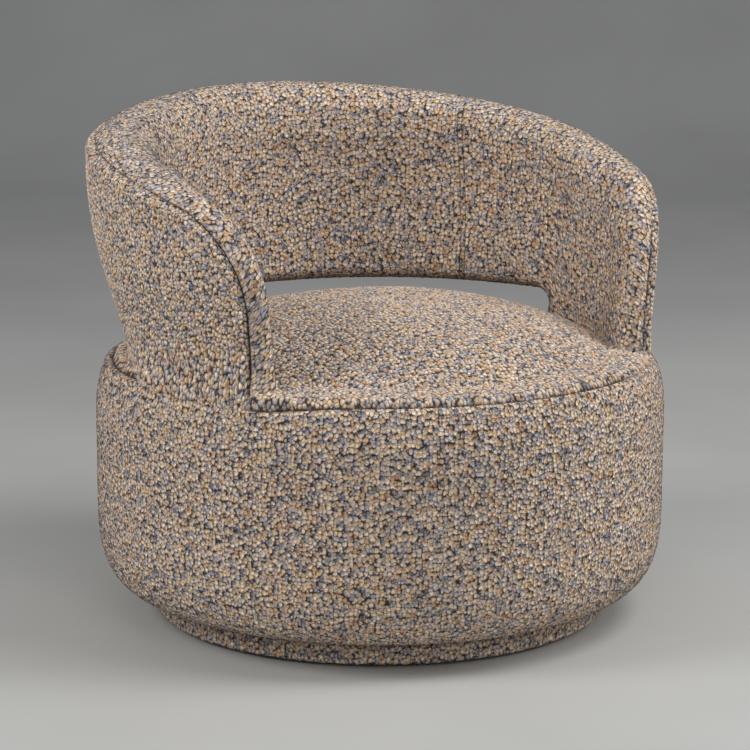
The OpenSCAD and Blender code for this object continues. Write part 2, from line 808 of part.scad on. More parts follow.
// A flat place bent round the axis, offset from the middle of the band by the depth y
function bent(i, p, y, gap) = let (
    fade = clamp01(1 - (p.y - ledge_h) / foot_fade),
    flat_a = p.x / arc, r = band_mid_r(flat_a, p.y + gap * fade) + y,
    a = flat_a - slot_skew * near_slot_end(p) * y / (band_thick(flat_a, p.y) / 2),
    drop = (seat_z(r) + gap - ledge_h) * fade,
    turn = i < 0 ? -a : a)
    [r * sin(turn), r * cos(turn), p.y + drop];

function band_point(i, d, skin, side) = let (p = flat_at(i, d, skin))
    bent(i, p, side(half_thick(p, skin)), foot_gap(p, skin));

// Distances down one line from the rim to the foot
rim_rows = [0, 2, 6, 11];
hem_h = 20;
function seam_at(i) = mix(seam_drop, front_seam_drop, smooth((abs(i) - crest_steps + 2) / corner_steps));
function line_len(i) = norm(foot[abs(i)] - rim[abs(i)]);
function lower_rows(i, first) = let (long = line_len(i)) [
    first, edge_round, mix(edge_round, long - hem_h, 0.35), mix(edge_round, long - hem_h, 0.7),
    long - hem_h, long - 6, long];

outward = function (h) h;
inward = function (h) -h;

// Faces that close one end of a loft whose loop runs down one side of a layer and back up the other
function end_faces(n) = [for (j = [0 : n / 2 - 2])
    each [[j, j + 1, n - 1 - j], [j + 1, n - 2 - j, n - 1 - j]]];

// Solid whose cross-sections are one closed loop on each line, from one arm to the other;
// every face is cut along the same diagonal in all layers, so that nested layers stay nested
module band_loft(loop) {
    loops = [for (i = [-steps : steps]) loop(i)];
    n = len(loops[0]);
    last = len(loops) - 1;
    polyhedron(
        points = [for (l = loops) each l],
        faces = concat(
            [for (k = [0 : last - 1], j = [0 : n - 1]) let (
                m = (j + 1) % n, here = k * n, next = here + n,
                down = loops[k][j].z > loops[k][m].z, left = k < steps)
                each down == left
                    ? [[here + j, next + j, here + m], [next + j, next + m, here + m]]
                    : [[here + j, next + j, next + m], [here + j, next + m, here + m]]],
            end_faces(n),
            [for (f = end_faces(n)) [for (j = reversed(f)) last * n + j]]));
}

function row_points(i, rows, skin, side) = [for (d = rows) band_point(i, d, skin, side)];

inner_shell_loop = function (i) let (rows = lower_rows(i, seam_at(i))) concat(
    row_points(i, reversed(concat(rim_rows, [seam_at(i)])), 0, outward),
    row_points(i, concat(rim_rows, rows), 0, inward),
    row_points(i, reversed(concat(rim_rows, rows)), cover_t, inward),
    row_points(i, concat(rim_rows, [seam_at(i)]), cover_t, outward));

outer_shell_loop = function (i) let (rows = lower_rows(i, seam_at(i) + 2 * fit)) concat(
    row_points(i, reversed(rows), 0, outward),
    row_points(i, rows, cover_t, outward));

foam_skin = cover_t + 3 * fit;

inner_foam_loop = function (i) let (
    rows = lower_rows(i, seam_at(i)),
    face = function (h) min(0.35 * h, panel_out - panel_gap)) concat(
    row_points(i, reversed(rows), foam_skin, face),
    row_points(i, reversed(rim_rows), foam_skin, outward),
    row_points(i, concat(rim_rows, rows), foam_skin, inward));

outer_foam_loop = function (i) let (
    rows = lower_rows(i, seam_at(i) + 2 * fit),
    face = function (h) max(0.4 * h, min(panel_out + panel_t + panel_gap, h - 0.5))) concat(
    row_points(i, reversed(rows), foam_skin, outward),
    row_points(i, rows, foam_skin, face));

// The panel's outside is bevelled towards the slot
function panel_bevel(i, d) =
    clamp01((line_dist(flat_at(i, d, panel_skin), slot_line) - panel_skin) / bevel_w);

panel_loop = function (i) let (
    rows = concat([panel_inset - panel_skin], [for (k = [1 : 6]) if (k != 5) lower_rows(i, 0)[k]]),
    near = function (h) panel_out) concat(
    [for (d = reversed(rows)) let (out = panel_out + 1 + (panel_t - 1) * panel_bevel(i, d))
        band_point(i, d, panel_skin, function (h) out)],
    row_points(i, rows, panel_skin, near));

// Posts: planks that lean with the inside of the panel and run down into the drum
function post_r(a, z) = band_mid_r(a, max(z, ledge_h)) + panel_out - post_gap;
post_zs = [post_bottom, for (k = [0 : 3]) mix(ledge_h, post_top - post_tip, k / 3), post_top];

// Slant of a post's faces, so that they lie along the panel
function post_slant(a) =
    (post_r(a + slant_turn, slant_z) - post_r(a - slant_turn, slant_z)) / (2 * slant_turn * arc);

// A post in its own plane: X is the distance from the axis, its side towards +Y leans by the slant
module post(a, slant, grow) {
    half = post_w / 2 + grow;
    rows = [for (k = [0 : len(post_zs) - 1])
        [post_r(a, post_zs[k]), post_zs[k] + (k == 0 ? -grow : k == len(post_zs) - 1 ? grow : 0)]];
    corners = [[grow, -half], [grow, half], [-post_t - grow, half], [-post_t - grow, -half]];
    points = [for (row = rows, c = corners) [row.x + c.x + slant * c.y, c.y, row.y]];
    last = 4 * (len(rows) - 1);
    polyhedron(
        points = points,
        faces = concat(
            [[0, 1, 2, 3]],
            [for (k = [0 : len(rows) - 2], c = [0 : 3]) let (n = (c + 1) % 4)
                [4 * k + c, 4 * k + 4 + c, 4 * k + 4 + n, 4 * k + n]],
            [[last + 3, last + 2, last + 1, last]]));
}

module posts(grow) {
    for (side = [-1, 1], a = post_angles)
        rotate([0, 0, 90 - side * a]) post(a, -side * post_slant(a), grow);
}

module post_bolt_places() {
    for (side = [-1, 1], a = post_angles, z = post_hole_zs)
        rotate([0, 0, 90 - side * a])
        translate([post_r(a, z) - post_t / 2, side * (rib_t / 2 + fit), z])
            on_side(side) children();
}

// Mirrors a child that is drawn for the right arm when it goes on the left one
module on_side(side) {
    if (side > 0) children();
    else mirror([0, 1, 0]) children();
}

module panel_screw_places() {
    for (side = [-1, 1], a = post_angles, z = panel_screw_zs)
        rotate([0, 0, 90 - side * a])
        translate([band_mid_r(a, z) + panel_out + panel_t - screw_sink, 0, z]) rotate([0, 90, 0]) children();
}

module arm_posts() {
    color("burlywood")
    difference() {
        posts(0);
        post_bolt_places() rotate([90, 0, 0])
            cylinder(d = post_bolt_d + post_bolt_clear, h = 3 * post_w, center = true, $fn = 24);
        panel_screw_places() translate([0, 0, -panel_screw_l - 4])
            cylinder(d = screw_d + pilot, h = pilot_l, $fn = 24);
    }
}

grip = post_w + rib_t + 2 * fit;

module post_bolts() {
    color("gray")
    post_bolt_places() rotate([90, 0, 0]) {
        translate([0, 0, -grip / 2 - post_washer_t - nut_h - bolt_end])
            cylinder(d = post_bolt_d, h = grip + 2 * post_washer_t + nut_h + bolt_end, $fn = 24);
        translate([0, 0, grip / 2 + post_washer_t]) cylinder(d = nut_d, h = post_head_h, $fn = 6);
    }
}

module post_washers() {
    color("silver")
    post_bolt_places() rotate([90, 0, 0])
    for (z = [-grip / 2 - post_washer_t, grip / 2]) translate([0, 0, z])
    difference() {
        cylinder(d = washer_d, h = post_washer_t, $fn = 32);
        translate([0, 0, -1])
            cylinder(d = post_bolt_d + post_bolt_clear, h = post_washer_t + 2, $fn = 24);
    }
}

module post_nuts() {
    color("silver")
    post_bolt_places() rotate([90, 0, 0])
    translate([0, 0, -grip / 2 - post_washer_t - nut_h])
    difference() {
        cylinder(d = nut_d, h = nut_h, $fn = 6);
        translate([0, 0, -1]) cylinder(d = post_bolt_d + thread_clear, h = nut_h + 2, $fn = 24);
    }
}

module back_panel() {
    color("peru")
    difference() {
        band_loft(panel_loop);
        panel_screw_places() {
            translate([0, 0, -panel_t - 4]) cylinder(d = screw_d + 0.4, h = panel_t + 8, $fn = 16);
            translate([0, 0, -head_sink - 0.4])
                cylinder(d = screw_head_d + 0.6, h = screw_sink + 4, $fn = 16);
        }
    }
}

module panel_screws() {
    color("goldenrod")
    panel_screw_places() translate([0, 0, -head_sink - 0.2]) wood_screw(panel_screw_l, head_sink - 0.2);
}

module inner_back_foam() {
    color("ivory")
    difference() {
        band_loft(inner_foam_loop);
        posts(post_clear);
    }
}

module outer_back_foam() {
    color("ivory") band_loft(outer_foam_loop);
}

module back_inner_cover() {
    color("tan") band_loft(inner_shell_loop);
}

module back_outer_cover() {
    color("tan") band_loft(outer_shell_loop);
}

floor_glides();
glide_screws();
plinth_board();
plinth_ring();
plinth_padding();
plinth_cover();
plinth_underlining();
lower_race_plate();
lower_plate_bolts();
lower_tee_nuts();
centre_pin();
bearing_balls();
ball_cage();
upper_race_plate();
pin_washer();
upper_plate_bolts();
upper_tee_nuts();
base_board();
frame_ribs();
top_ring();
frame_screws();
side_hoop();
webbing_lengthwise();
webbing_crosswise();
seat_foam();
seat_cover();
drum_padding();
drum_cover();
underside_cloth();
arm_posts();
post_bolts();
post_washers();
post_nuts();
back_panel();
panel_screws();
inner_back_foam();
outer_back_foam();
back_inner_cover();
back_outer_cover();
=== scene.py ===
"""Visual model of an upholstered swivel lounge chair.

The chair is a round drum on a recessed plinth, a domed tight seat, and one curved band that makes
the back and both arms. Every visible surface is covered in a nubby loop fabric. Each cover is made
the way an upholsterer makes it: a flat sheet of cloth is bent to its place, its edges are tucked
into the seams, and the nubs are pressed into it as real relief. All lengths are in metres.
"""
import logging
import math
from dataclasses import dataclass, field
from enum import Enum
from typing import Callable

import bmesh
import bpy
import numpy as np
from mathutils import Matrix, Vector


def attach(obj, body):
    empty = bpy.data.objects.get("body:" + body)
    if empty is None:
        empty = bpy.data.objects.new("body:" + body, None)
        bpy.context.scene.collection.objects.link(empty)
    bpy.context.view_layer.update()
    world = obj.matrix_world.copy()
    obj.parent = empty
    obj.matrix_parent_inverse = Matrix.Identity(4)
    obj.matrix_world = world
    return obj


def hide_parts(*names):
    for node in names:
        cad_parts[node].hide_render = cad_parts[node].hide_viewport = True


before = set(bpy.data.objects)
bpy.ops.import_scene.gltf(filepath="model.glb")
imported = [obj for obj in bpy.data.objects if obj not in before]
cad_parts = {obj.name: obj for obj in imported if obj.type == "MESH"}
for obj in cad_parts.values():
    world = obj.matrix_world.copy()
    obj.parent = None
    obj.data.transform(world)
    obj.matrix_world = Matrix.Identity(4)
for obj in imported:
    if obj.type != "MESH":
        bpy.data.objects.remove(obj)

LOG = logging.getLogger("swivel_chair")
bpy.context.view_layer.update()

# Names under which the cloth's mesh tells its material and its relief about itself
CLOTH_MAP = "cloth"
SEWN = "sewn"

# Usual sizes of a seam: the mesh's lines beside it, its groove, its pressed nubs and its hem
SEAM_STEPS = np.array([0.0007, 0.0014, 0.0022, 0.0032, 0.0044])
SEAM_CLEAR = 0.0004
GROOVE_W = 0.0022
SEWN_W = 0.0013
HEM = 0.006
SEW_REACH = 0.0006

# Points whose distances are worked out at once, so that little memory is taken
POINTS_AT_ONCE = 8000

Array = np.ndarray
Socket = bpy.types.NodeSocket
Bend = Callable[[Array, Array], tuple[Array, Array, Array]]


class Body(Enum):
    """The bodies that pieces ride on."""

    BASE = "base"
    SEAT = "seat"


class Side(Enum):
    """Sides of the chair, as the sign of X."""

    LEFT = -1
    RIGHT = 1


class Face(Enum):
    """Inside and outside of the back and arms, as the sign of the distance from their middle."""

    INNER = -1
    OUTER = 1


# Small helpers


def srgb(red: float, green: float, blue: float) -> tuple[float, float, float, float]:
    """Turns a colour as a painter would name it into the renderer's linear values.

    Args:
        red, green, blue: Colour from 0 to 1 as it shows on a screen.

    Returns:
        The linear colour with full alpha.
    """
    linear = [c / 12.92 if c <= 0.04045 else ((c + 0.055) / 1.055) ** 2.4 for c in (red, green, blue)]
    return (linear[0], linear[1], linear[2], 1.0)


def unit(x: Array) -> Array:
    """Keeps values between 0 and 1."""
    return np.clip(x, 0.0, 1.0)


def smooth(x: Array) -> Array:
    """Eases from 0 to 1."""
    c = unit(x)
    return c * c * (3.0 - 2.0 * c)


def eased(x: Array, start: float, span: float) -> Array:
    """Eases from 0 at a start to 1 a span further on."""
    return smooth((x - start) / span)


def mix(a: Array, b: Array, t: Array) -> Array:
    """Goes from a to b as t goes from 0 to 1."""
    return a + (b - a) * t


def bell(distance: Array, width: float) -> Array:
    """Falls from 1 on a line to 0 on both sides of it."""
    return np.exp(-((distance / width) ** 2))


def groove(distance: Array, depth: float, width: float = GROOVE_W) -> Array:
    """Depth of a seam's groove at a distance from its middle."""
    return depth * bell(distance, width)


def sewn_at(distance: Array, width: float = SEWN_W) -> Array:
    """Nearness of a seam, from 0 to 1."""
    return bell(distance, width)


def run(steps: Array) -> Array:
    """Distance of each point of a line from its start, out of the steps between them."""
    return np.concatenate([[0.0], np.cumsum(steps)])


def polyline_distance(points: Array, line: Array) -> Array:
    """Distance of flat points from a line of short straight pieces.

    Args:
        points: Places to measure, one row each.
        line: Corners of the line, one row each.

    Returns:
        One distance for each point.
    """
    start, along = line[:-1], np.diff(line, axis=0)
    length = (along**2).sum(1)
    found = []
    for part in np.array_split(points, max(1, len(points) // POINTS_AT_ONCE)):
        offset = part[:, None, :] - start[None]
        t = unit((offset * along).sum(2) / length)
        found.append(np.sqrt(((offset - t[..., None] * along) ** 2).sum(2).min(1)))
    return np.concatenate(found)


# Materials


class NodeSheet:
    """A short way to write a node tree, for a material or for a relief."""

    def __init__(self, tree: bpy.types.NodeTree) -> None:
        """Keeps the tree that nodes go into."""
        self.tree = tree

    def put(self, node: bpy.types.Node, inputs: dict[str | int, object]) -> None:
        """Fills a node's inputs.

        Args:
            node: Node that is filled.
            inputs: Values or sockets to put in, by input name or number.
        """
        for key, value in inputs.items():
            socket = node.inputs[key]
            if isinstance(value, bpy.types.NodeSocket):
                self.tree.links.new(value, socket)
            else:
                socket.default_value = value

    def node(
        self, kind: str, inputs: dict[str | int, object] | None = None, **settings: object
    ) -> bpy.types.Node:
        """Adds a node.

        Args:
            kind: Blender's name of the node type.
            inputs: Values or sockets to put in, by input name or number.
            settings: Settings of the node itself.

        Returns:
            The new node.
        """
        made = self.tree.nodes.new(kind)
        for name, value in settings.items():
            setattr(made, name, value)
        self.put(made, inputs or {})
        return made

    def math(self, operation: str, *values: object) -> Socket:
        """Adds a Math node and gives its result."""
        return self.node("ShaderNodeMath", dict(enumerate(values)), operation=operation).outputs[0]

    def vector(self, operation: str, *values: object) -> Socket:
        """Adds a Vector Math node and gives its result."""
        return self.node("ShaderNodeVectorMath", dict(enumerate(values)), operation=operation).outputs[0]

    def scaled(self, vector: object, factor: object) -> Socket:
        """Scales a vector and gives the result."""
        return self.node("ShaderNodeVectorMath", {0: vector, "Scale": factor}, operation="SCALE").outputs[0]

    def ease(
        self, value: object, low: float, high: float, to_low: float = 0.0, to_high: float = 1.0
    ) -> Socket:
        """Maps a value smoothly from one range to another.

        Args:
            value: What is mapped.
            low, high: Range that it comes from.
            to_low, to_high: Range that it goes to.

        Returns:
            The mapped value.
        """
        made = self.node(
            "ShaderNodeMapRange",
            {0: value, 1: low, 2: high, 3: to_low, 4: to_high},
            interpolation_type="SMOOTHSTEP",
        )
        return made.outputs[0]

    def noise(self, vector: object, pitch: float, detail: float = 2.0, flat: bool = False) -> bpy.types.Node:
        """Adds a Noise texture.

        Args:
            vector: Place that it is read at.
            pitch: Size of its clouds, in metres.
            detail: How many finer layers it has.
            flat: Whether it lies flat, as on cloth, or goes through the piece.

        Returns:
            The new node.
        """
        return self.node(
            "ShaderNodeTexNoise",
            {"Vector": vector, "Scale": 1.0 / pitch, "Detail": detail},
            noise_dimensions="2D" if flat else "3D",
        )

    def blend(self, amount: object, first: object, second: object, mode: str = "MIX") -> Socket:
        """Adds a colour Mix node.

        Args:
            amount: Share of the second colour.
            first, second: The colours.
            mode: How Blender blends them.

        Returns:
            The mixed colour.
        """
        made = self.node("ShaderNodeMix", data_type="RGBA", blend_type=mode)
        self.put(made, {0: amount, 6: first, 7: second})
        return made.outputs[2]

    def ramp(self, value: object, stops: tuple[tuple[float, tuple], ...]) -> Socket:
        """Adds a stepped colour ramp.

        Args:
            value: Value from 0 to 1 that picks the colour.
            stops: Where each colour starts, and the colour.

        Returns:
            The picked colour.
        """
        made = self.node("ShaderNodeValToRGB", {0: value})
        ramp = made.color_ramp
        ramp.interpolation = "CONSTANT"
        while len(ramp.elements) < len(stops):
            ramp.elements.new(1.0)
        for element, (place, colour) in zip(ramp.elements, stops):
            element.position = place
            element.color = colour
        return made.outputs[0]

    def bump(self, height: Socket, depth: float, strength: float) -> Socket:
        """Adds a Bump node and gives its normal."""
        made = self.node("ShaderNodeBump", {"Strength": strength, "Distance": depth, "Height": height})
        return made.outputs[0]

    def place(self) -> Socket:
        """Gives the place on a piece, in its own coordinates."""
        return self.node("ShaderNodeTexCoord").outputs["Object"]


def new_material(name: str) -> tuple[bpy.types.Material, NodeSheet, bpy.types.Node]:
    """Starts a material.

    Args:
        name: Name of the material.

    Returns:
        The material, its node sheet and its main shader.
    """
    material = bpy.data.materials.new(name)
    material.use_nodes = True
    return material, NodeSheet(material.node_tree), material.node_tree.nodes["Principled BSDF"]


@dataclass(frozen=True)
class NubField:
    """The pattern of nubs in the loop fabric, shared by its relief and its colour.

    Attributes:
        pitch: Distance from one large nub to the next.
        small_pitch: Distance between the small nubs that fill the gaps.
        small_rise: Height of the small nubs, where a large one has 1.
        randomness: How uneven the nubs lie, from 0 to 1.
        stray: How far the rows of nubs wander.
        stray_pitch: Distance in which they wander there and back.
        dome: Where a nub's side begins and ends, in pitches from its middle.
        parting: Width of the crease between two nubs, in pitches.
        crossed: How flat a seam presses the nubs, where they stray over it and elsewhere.
    """

    pitch: float = 0.0068
    small_pitch: float = 0.0046
    small_rise: float = 0.66
    randomness: float = 0.86
    stray: float = 0.0015
    stray_pitch: float = 0.013
    dome: tuple = (0.10, 0.64)
    parting: float = 0.10
    crossed: tuple = (0.82, 1.0)

    def layer(self, sheet: NodeSheet, place: Socket, pitch: float, rise: float) -> tuple[Socket, Socket]:
        """Lays out nubs of one size.

        Args:
            sheet: Node tree that the nubs go into.
            place: Place on the cloth.
            pitch: Distance from one nub to the next.
            rise: Height of the nubs.

        Returns:
            The nubs' height, and a random colour for each of them.
        """
        setting = {"Vector": place, "Scale": 1.0 / pitch, "Randomness": self.randomness}
        nub = sheet.node("ShaderNodeTexVoronoi", setting, voronoi_dimensions="2D")
        rim = sheet.node(
            "ShaderNodeTexVoronoi", setting, voronoi_dimensions="2D", feature="DISTANCE_TO_EDGE"
        )
        dome = sheet.ease(nub.outputs["Distance"], *self.dome, rise, 0.0)
        parted = sheet.ease(rim.outputs["Distance"], 0.0, self.parting, 0.5, 1.0)
        return sheet.math("MULTIPLY", dome, parted), nub.outputs["Color"]

    def lay(self, sheet: NodeSheet, cloth: Socket, sewn: Socket) -> tuple[Socket, Socket, Socket]:
        """Lays the pattern out in a node tree.

        Args:
            sheet: Node tree that the pattern goes into.
            cloth: Place on the flat cloth, in metres.
            sewn: Nearness of a seam, where the nubs are pressed flat, from 0 to 1.

        Returns:
            The height of the nubs from 0 to 1, a random colour for each nub, and the crooked
            place on the cloth that both were read at.
        """
        stray = sheet.noise(cloth, self.stray_pitch, 1.0, flat=True)
        centred = sheet.vector("SUBTRACT", stray.outputs["Color"], (0.5, 0.5, 0.5))
        place = sheet.vector("ADD", cloth, sheet.scaled(centred, self.stray * 2.0))
        large, large_colour = self.layer(sheet, place, self.pitch, 1.0)
        small, small_colour = self.layer(sheet, place, self.small_pitch, self.small_rise)
        top = sheet.math("GREATER_THAN", large, small)
        colour = sheet.blend(top, small_colour, large_colour)
        crossed = sheet.ease(stray.outputs["Fac"], 0.34, 0.58, *self.crossed)
        level = sheet.math("SUBTRACT", 1.0, sheet.math("MULTIPLY", sewn, crossed))
        height = sheet.math("MULTIPLY", sheet.math("MAXIMUM", large, small), level)
        return height, colour, place


@dataclass(frozen=True)
class LoopFabric:
    """Nubby loop fabric in cream, tan and blue-grey, with painted shade in the gaps between its nubs.

    Attributes:
        nubs: Pattern of its nubs.
        gap_shade: Painted shade in the gaps between the nubs, which also darkens the seams where the nubs are
            pressed flat.
        palette: Colours of the yarn, each with the value from 0 to 1 at which it starts.
        patch, twist_patch: Size of the patches of like colour in the yarn and in its second strand.
        like: Share of a nub's colour that its patch decides, where its own chance decides the rest.
        strand, twist: Width of the second strand on a nub, and how much of its colour shows.
        dullest, spread: Tone of the darkest nubs, and how much lighter the lightest are.
        fibre, fibre_tone, fibre_rise: Size of the fibres, the tones that they give the yarn, and
            their height beside a nub's.
        nub_shading: Tones that paint shade on a nub's foot and light on its top.
        gap_shade_share: How much of the painted shade shows in the gaps between the nubs.
        depth: Depth of the bump that nubs and fibres add to the relief.
    """

    name: str = "boucle_fabric"
    nubs: NubField = field(default_factory=NubField)
    gap_shade: tuple = srgb(0.17, 0.14, 0.13)
    palette: tuple = (
        (0.00, srgb(0.42, 0.38, 0.38)),
        (0.16, srgb(0.53, 0.55, 0.60)),
        (0.24, srgb(0.56, 0.57, 0.58)),
        (0.30, srgb(0.66, 0.61, 0.65)),
        (0.35, srgb(0.73, 0.70, 0.71)),
        (0.40, srgb(0.79, 0.71, 0.67)),
        (0.45, srgb(0.83, 0.76, 0.69)),
        (0.50, srgb(0.90, 0.83, 0.75)),
        (0.55, srgb(0.83, 0.74, 0.61)),
        (0.60, srgb(0.88, 0.79, 0.68)),
        (0.65, srgb(0.80, 0.70, 0.53)),
        (0.70, srgb(0.84, 0.70, 0.59)),
        (0.76, srgb(0.77, 0.63, 0.47)),
        (0.83, srgb(0.77, 0.60, 0.48)),
        (0.90, srgb(0.63, 0.48, 0.38)),
    )
    patch: float = 0.014
    twist_patch: float = 0.011
    like: float = 0.36
    strand: float = 0.0021
    twist: float = 0.75
    dullest: float = 0.86
    spread: float = 0.34
    fibre: float = 0.0011
    fibre_tone: tuple = (0.84, 1.16)
    fibre_rise: float = 0.25
    nub_shading: tuple = (0.56, 1.14)
    gap_shade_share: float = 0.92
    depth: float = 0.0018

    def yarn(self, sheet: NodeSheet, place: Socket, chance: Socket, patch: float) -> Socket:
        """Picks the yarn's colour for each nub, in patches of like colour.

        Args:
            sheet: Node tree that it goes into.
            place: Place on the cloth.
            chance: Random number of each nub.
            patch: Size of the patches.

        Returns:
            The yarn's colour.
        """
        alike = sheet.ease(sheet.noise(place, patch, 1.0, flat=True).outputs[0], 0.30, 0.70)
        own = sheet.math("MULTIPLY", chance, 1.0 - self.like)
        return sheet.ramp(sheet.math("ADD", sheet.math("MULTIPLY", alike, self.like), own), self.palette)

    def make(self) -> bpy.types.Material:
        """Builds the material."""
        material, sheet, shader = new_material(self.name)
        cloth = sheet.node("ShaderNodeUVMap", uv_map=CLOTH_MAP).outputs[0]
        sewn = sheet.node("ShaderNodeAttribute", attribute_name=SEWN).outputs["Fac"]
        height, cell, place = self.nubs.lay(sheet, cloth, sewn)
        chance = sheet.node("ShaderNodeSeparateColor", {0: cell})
        main = self.yarn(sheet, place, chance.outputs[0], self.patch)
        twist = self.yarn(sheet, place, chance.outputs[2], self.twist_patch)
        strand = sheet.noise(place, self.strand, 1.0, flat=True).outputs[0]
        yarn = sheet.blend(sheet.ease(strand, 0.52, 0.66, 0.0, self.twist), main, twist)
        lighter = sheet.math("MULTIPLY", chance.outputs[1], self.spread)
        lightness = sheet.math("ADD", lighter, self.dullest)
        fibre = sheet.noise(place, self.fibre, 2.0, flat=True).outputs[0]
        tone = sheet.math("MULTIPLY", lightness, sheet.ease(fibre, 0.25, 0.75, *self.fibre_tone))
        # Painted shading: each nub's colour is darkened towards its foot and lightened at its top.
        crown = sheet.math("MULTIPLY", tone, sheet.ease(height, 0.1, 0.95, *self.nub_shading))
        grey = sheet.node("ShaderNodeCombineColor", {0: crown, 1: crown, 2: crown}).outputs[0]
        lit = sheet.blend(1.0, yarn, grey, "MULTIPLY")
        # Painted shade: the gaps between the nubs, and the seams where the nubs are pressed flat, take the
        # dark shade colour.
        colour = sheet.blend(sheet.ease(height, 0.04, 0.30, self.gap_shade_share, 0.0), lit, self.gap_shade)
        relief = sheet.math("ADD", height, sheet.math("MULTIPLY", fibre, self.fibre_rise))
        sheet.put(shader, {
            "Base Color": colour, "Normal": sheet.bump(relief, self.depth, 0.8), "Roughness": 0.95,
            "Specular IOR Level": 0.12, "Sheen Weight": 0.10, "Sheen Roughness": 0.6,
        })
        return material


@dataclass(frozen=True)
class PlainFinish:
    """A finish with a speckled or grained colour, a roughness and a fine bump.

    Attributes:
        dark, light: Colours that the grain goes between.
        pitch: Size of the pattern's grain.
        bump: Depth of the relief.
    """

    name: str
    dark: tuple
    light: tuple
    pitch: float
    roughness: float
    metallic: float = 0.0
    bump: float = 0.0002

    def make(self) -> bpy.types.Material:
        """Builds the material."""
        material, sheet, shader = new_material(self.name)
        grain = sheet.noise(sheet.place(), self.pitch, 4.0).outputs[0]
        sheet.put(shader, {
            "Base Color": sheet.blend(sheet.ease(grain, 0.3, 0.7), self.dark, self.light),
            "Roughness": sheet.ease(grain, 0.3, 0.7, self.roughness - 0.05, self.roughness + 0.05),
            "Normal": sheet.bump(grain, self.bump, 0.5),
            "Metallic": self.metallic,
        })
        return material


@dataclass(frozen=True)
class LayeredBoard:
    """Plywood whose glued layers show as stripes on its edges.

    Attributes:
        layer: Thickness of one layer.
        grain: Size of the wood's grain across it.
        drawn_out: How the grain is stretched along X, Y and Z.
    """

    name: str = "plywood"
    layer: float = 0.003
    grain: float = 0.006
    drawn_out: tuple = (1.0, 0.12, 0.6)

    def make(self) -> bpy.types.Material:
        """Builds the material."""
        material, sheet, shader = new_material(self.name)
        place = sheet.place()
        high = sheet.node("ShaderNodeSeparateXYZ", {0: place}).outputs[2]
        stripe = sheet.math("SINE", sheet.math("MULTIPLY", high, math.pi / self.layer))
        along = sheet.node("ShaderNodeMapping", {"Vector": place, "Scale": self.drawn_out}).outputs[0]
        grain = sheet.noise(along, self.grain, 5.0).outputs[0]
        ply = sheet.blend(sheet.ease(stripe, -0.3, 0.3), srgb(0.66, 0.50, 0.33), srgb(0.83, 0.70, 0.52))
        colour = sheet.blend(sheet.ease(grain, 0.35, 0.75, 0.0, 0.35), ply, srgb(0.55, 0.39, 0.24))
        sheet.put(shader, {
            "Base Color": colour, "Normal": sheet.bump(grain, 0.0002, 0.4), "Roughness": 0.62
        })
        return material


@dataclass(frozen=True)
class WovenTape:
    """Elastic webbing with its weave across the strap.

    Attributes:
        pitch: Distance from one thread of the weave to the next.
    """

    name: str = "webbing"
    pitch: float = 0.002

    def make(self) -> bpy.types.Material:
        """Builds the material."""
        material, sheet, shader = new_material(self.name)
        split = sheet.node("ShaderNodeSeparateXYZ", {0: sheet.place()})
        turns = 2.0 * math.pi / self.pitch
        across = [sheet.math("SINE", sheet.math("MULTIPLY", split.outputs[i], turns)) for i in (0, 1)]
        weave = sheet.math("MULTIPLY", across[0], across[1])
        colour = sheet.blend(sheet.ease(weave, -0.6, 0.6), srgb(0.45, 0.36, 0.24), srgb(0.72, 0.62, 0.44))
        sheet.put(shader, {
            "Base Color": colour, "Normal": sheet.bump(weave, 0.0004, 0.6), "Roughness": 0.85
        })
        return material


Finish = PlainFinish | LayeredBoard | WovenTape

FOAM = PlainFinish(
    "foam", srgb(0.86, 0.82, 0.70), srgb(0.96, 0.93, 0.83), pitch=0.0014, roughness=0.9, bump=0.0008
)
HARDBOARD = PlainFinish(
    "hardboard", srgb(0.40, 0.27, 0.17), srgb(0.52, 0.37, 0.25), pitch=0.0035, roughness=0.55
)
ZINC_SHEET = PlainFinish(
    "pressed_steel", srgb(0.56, 0.57, 0.60), srgb(0.72, 0.73, 0.75),
    pitch=0.012, roughness=0.36, metallic=1.0, bump=0.00005,
)
ZINC_SCREW = PlainFinish(
    "screw_steel", srgb(0.62, 0.60, 0.54), srgb(0.78, 0.77, 0.72),
    pitch=0.004, roughness=0.32, metallic=1.0, bump=0.00005,
)
POLISHED_BALL = PlainFinish(
    "ball_steel", srgb(0.76, 0.76, 0.78), srgb(0.84, 0.84, 0.86),
    pitch=0.006, roughness=0.12, metallic=1.0, bump=0.00001,
)
NYLON = PlainFinish(
    "nylon", srgb(0.86, 0.85, 0.80), srgb(0.92, 0.91, 0.87), pitch=0.004, roughness=0.5, bump=0.00005
)
GLIDE = PlainFinish(
    "glide_plastic", srgb(0.06, 0.06, 0.06), srgb(0.10, 0.10, 0.10), pitch=0.002, roughness=0.55, bump=0.0001
)
LINING = PlainFinish(
    "lining_cloth", srgb(0.03, 0.03, 0.035), srgb(0.10, 0.10, 0.11), pitch=0.0008, roughness=0.95, bump=0.0003
)
THREAD = PlainFinish(
    "boucle_fabric_thread", srgb(0.30, 0.26, 0.23), srgb(0.46, 0.40, 0.35),
    pitch=0.0006, roughness=0.8, bump=0.0002,
)

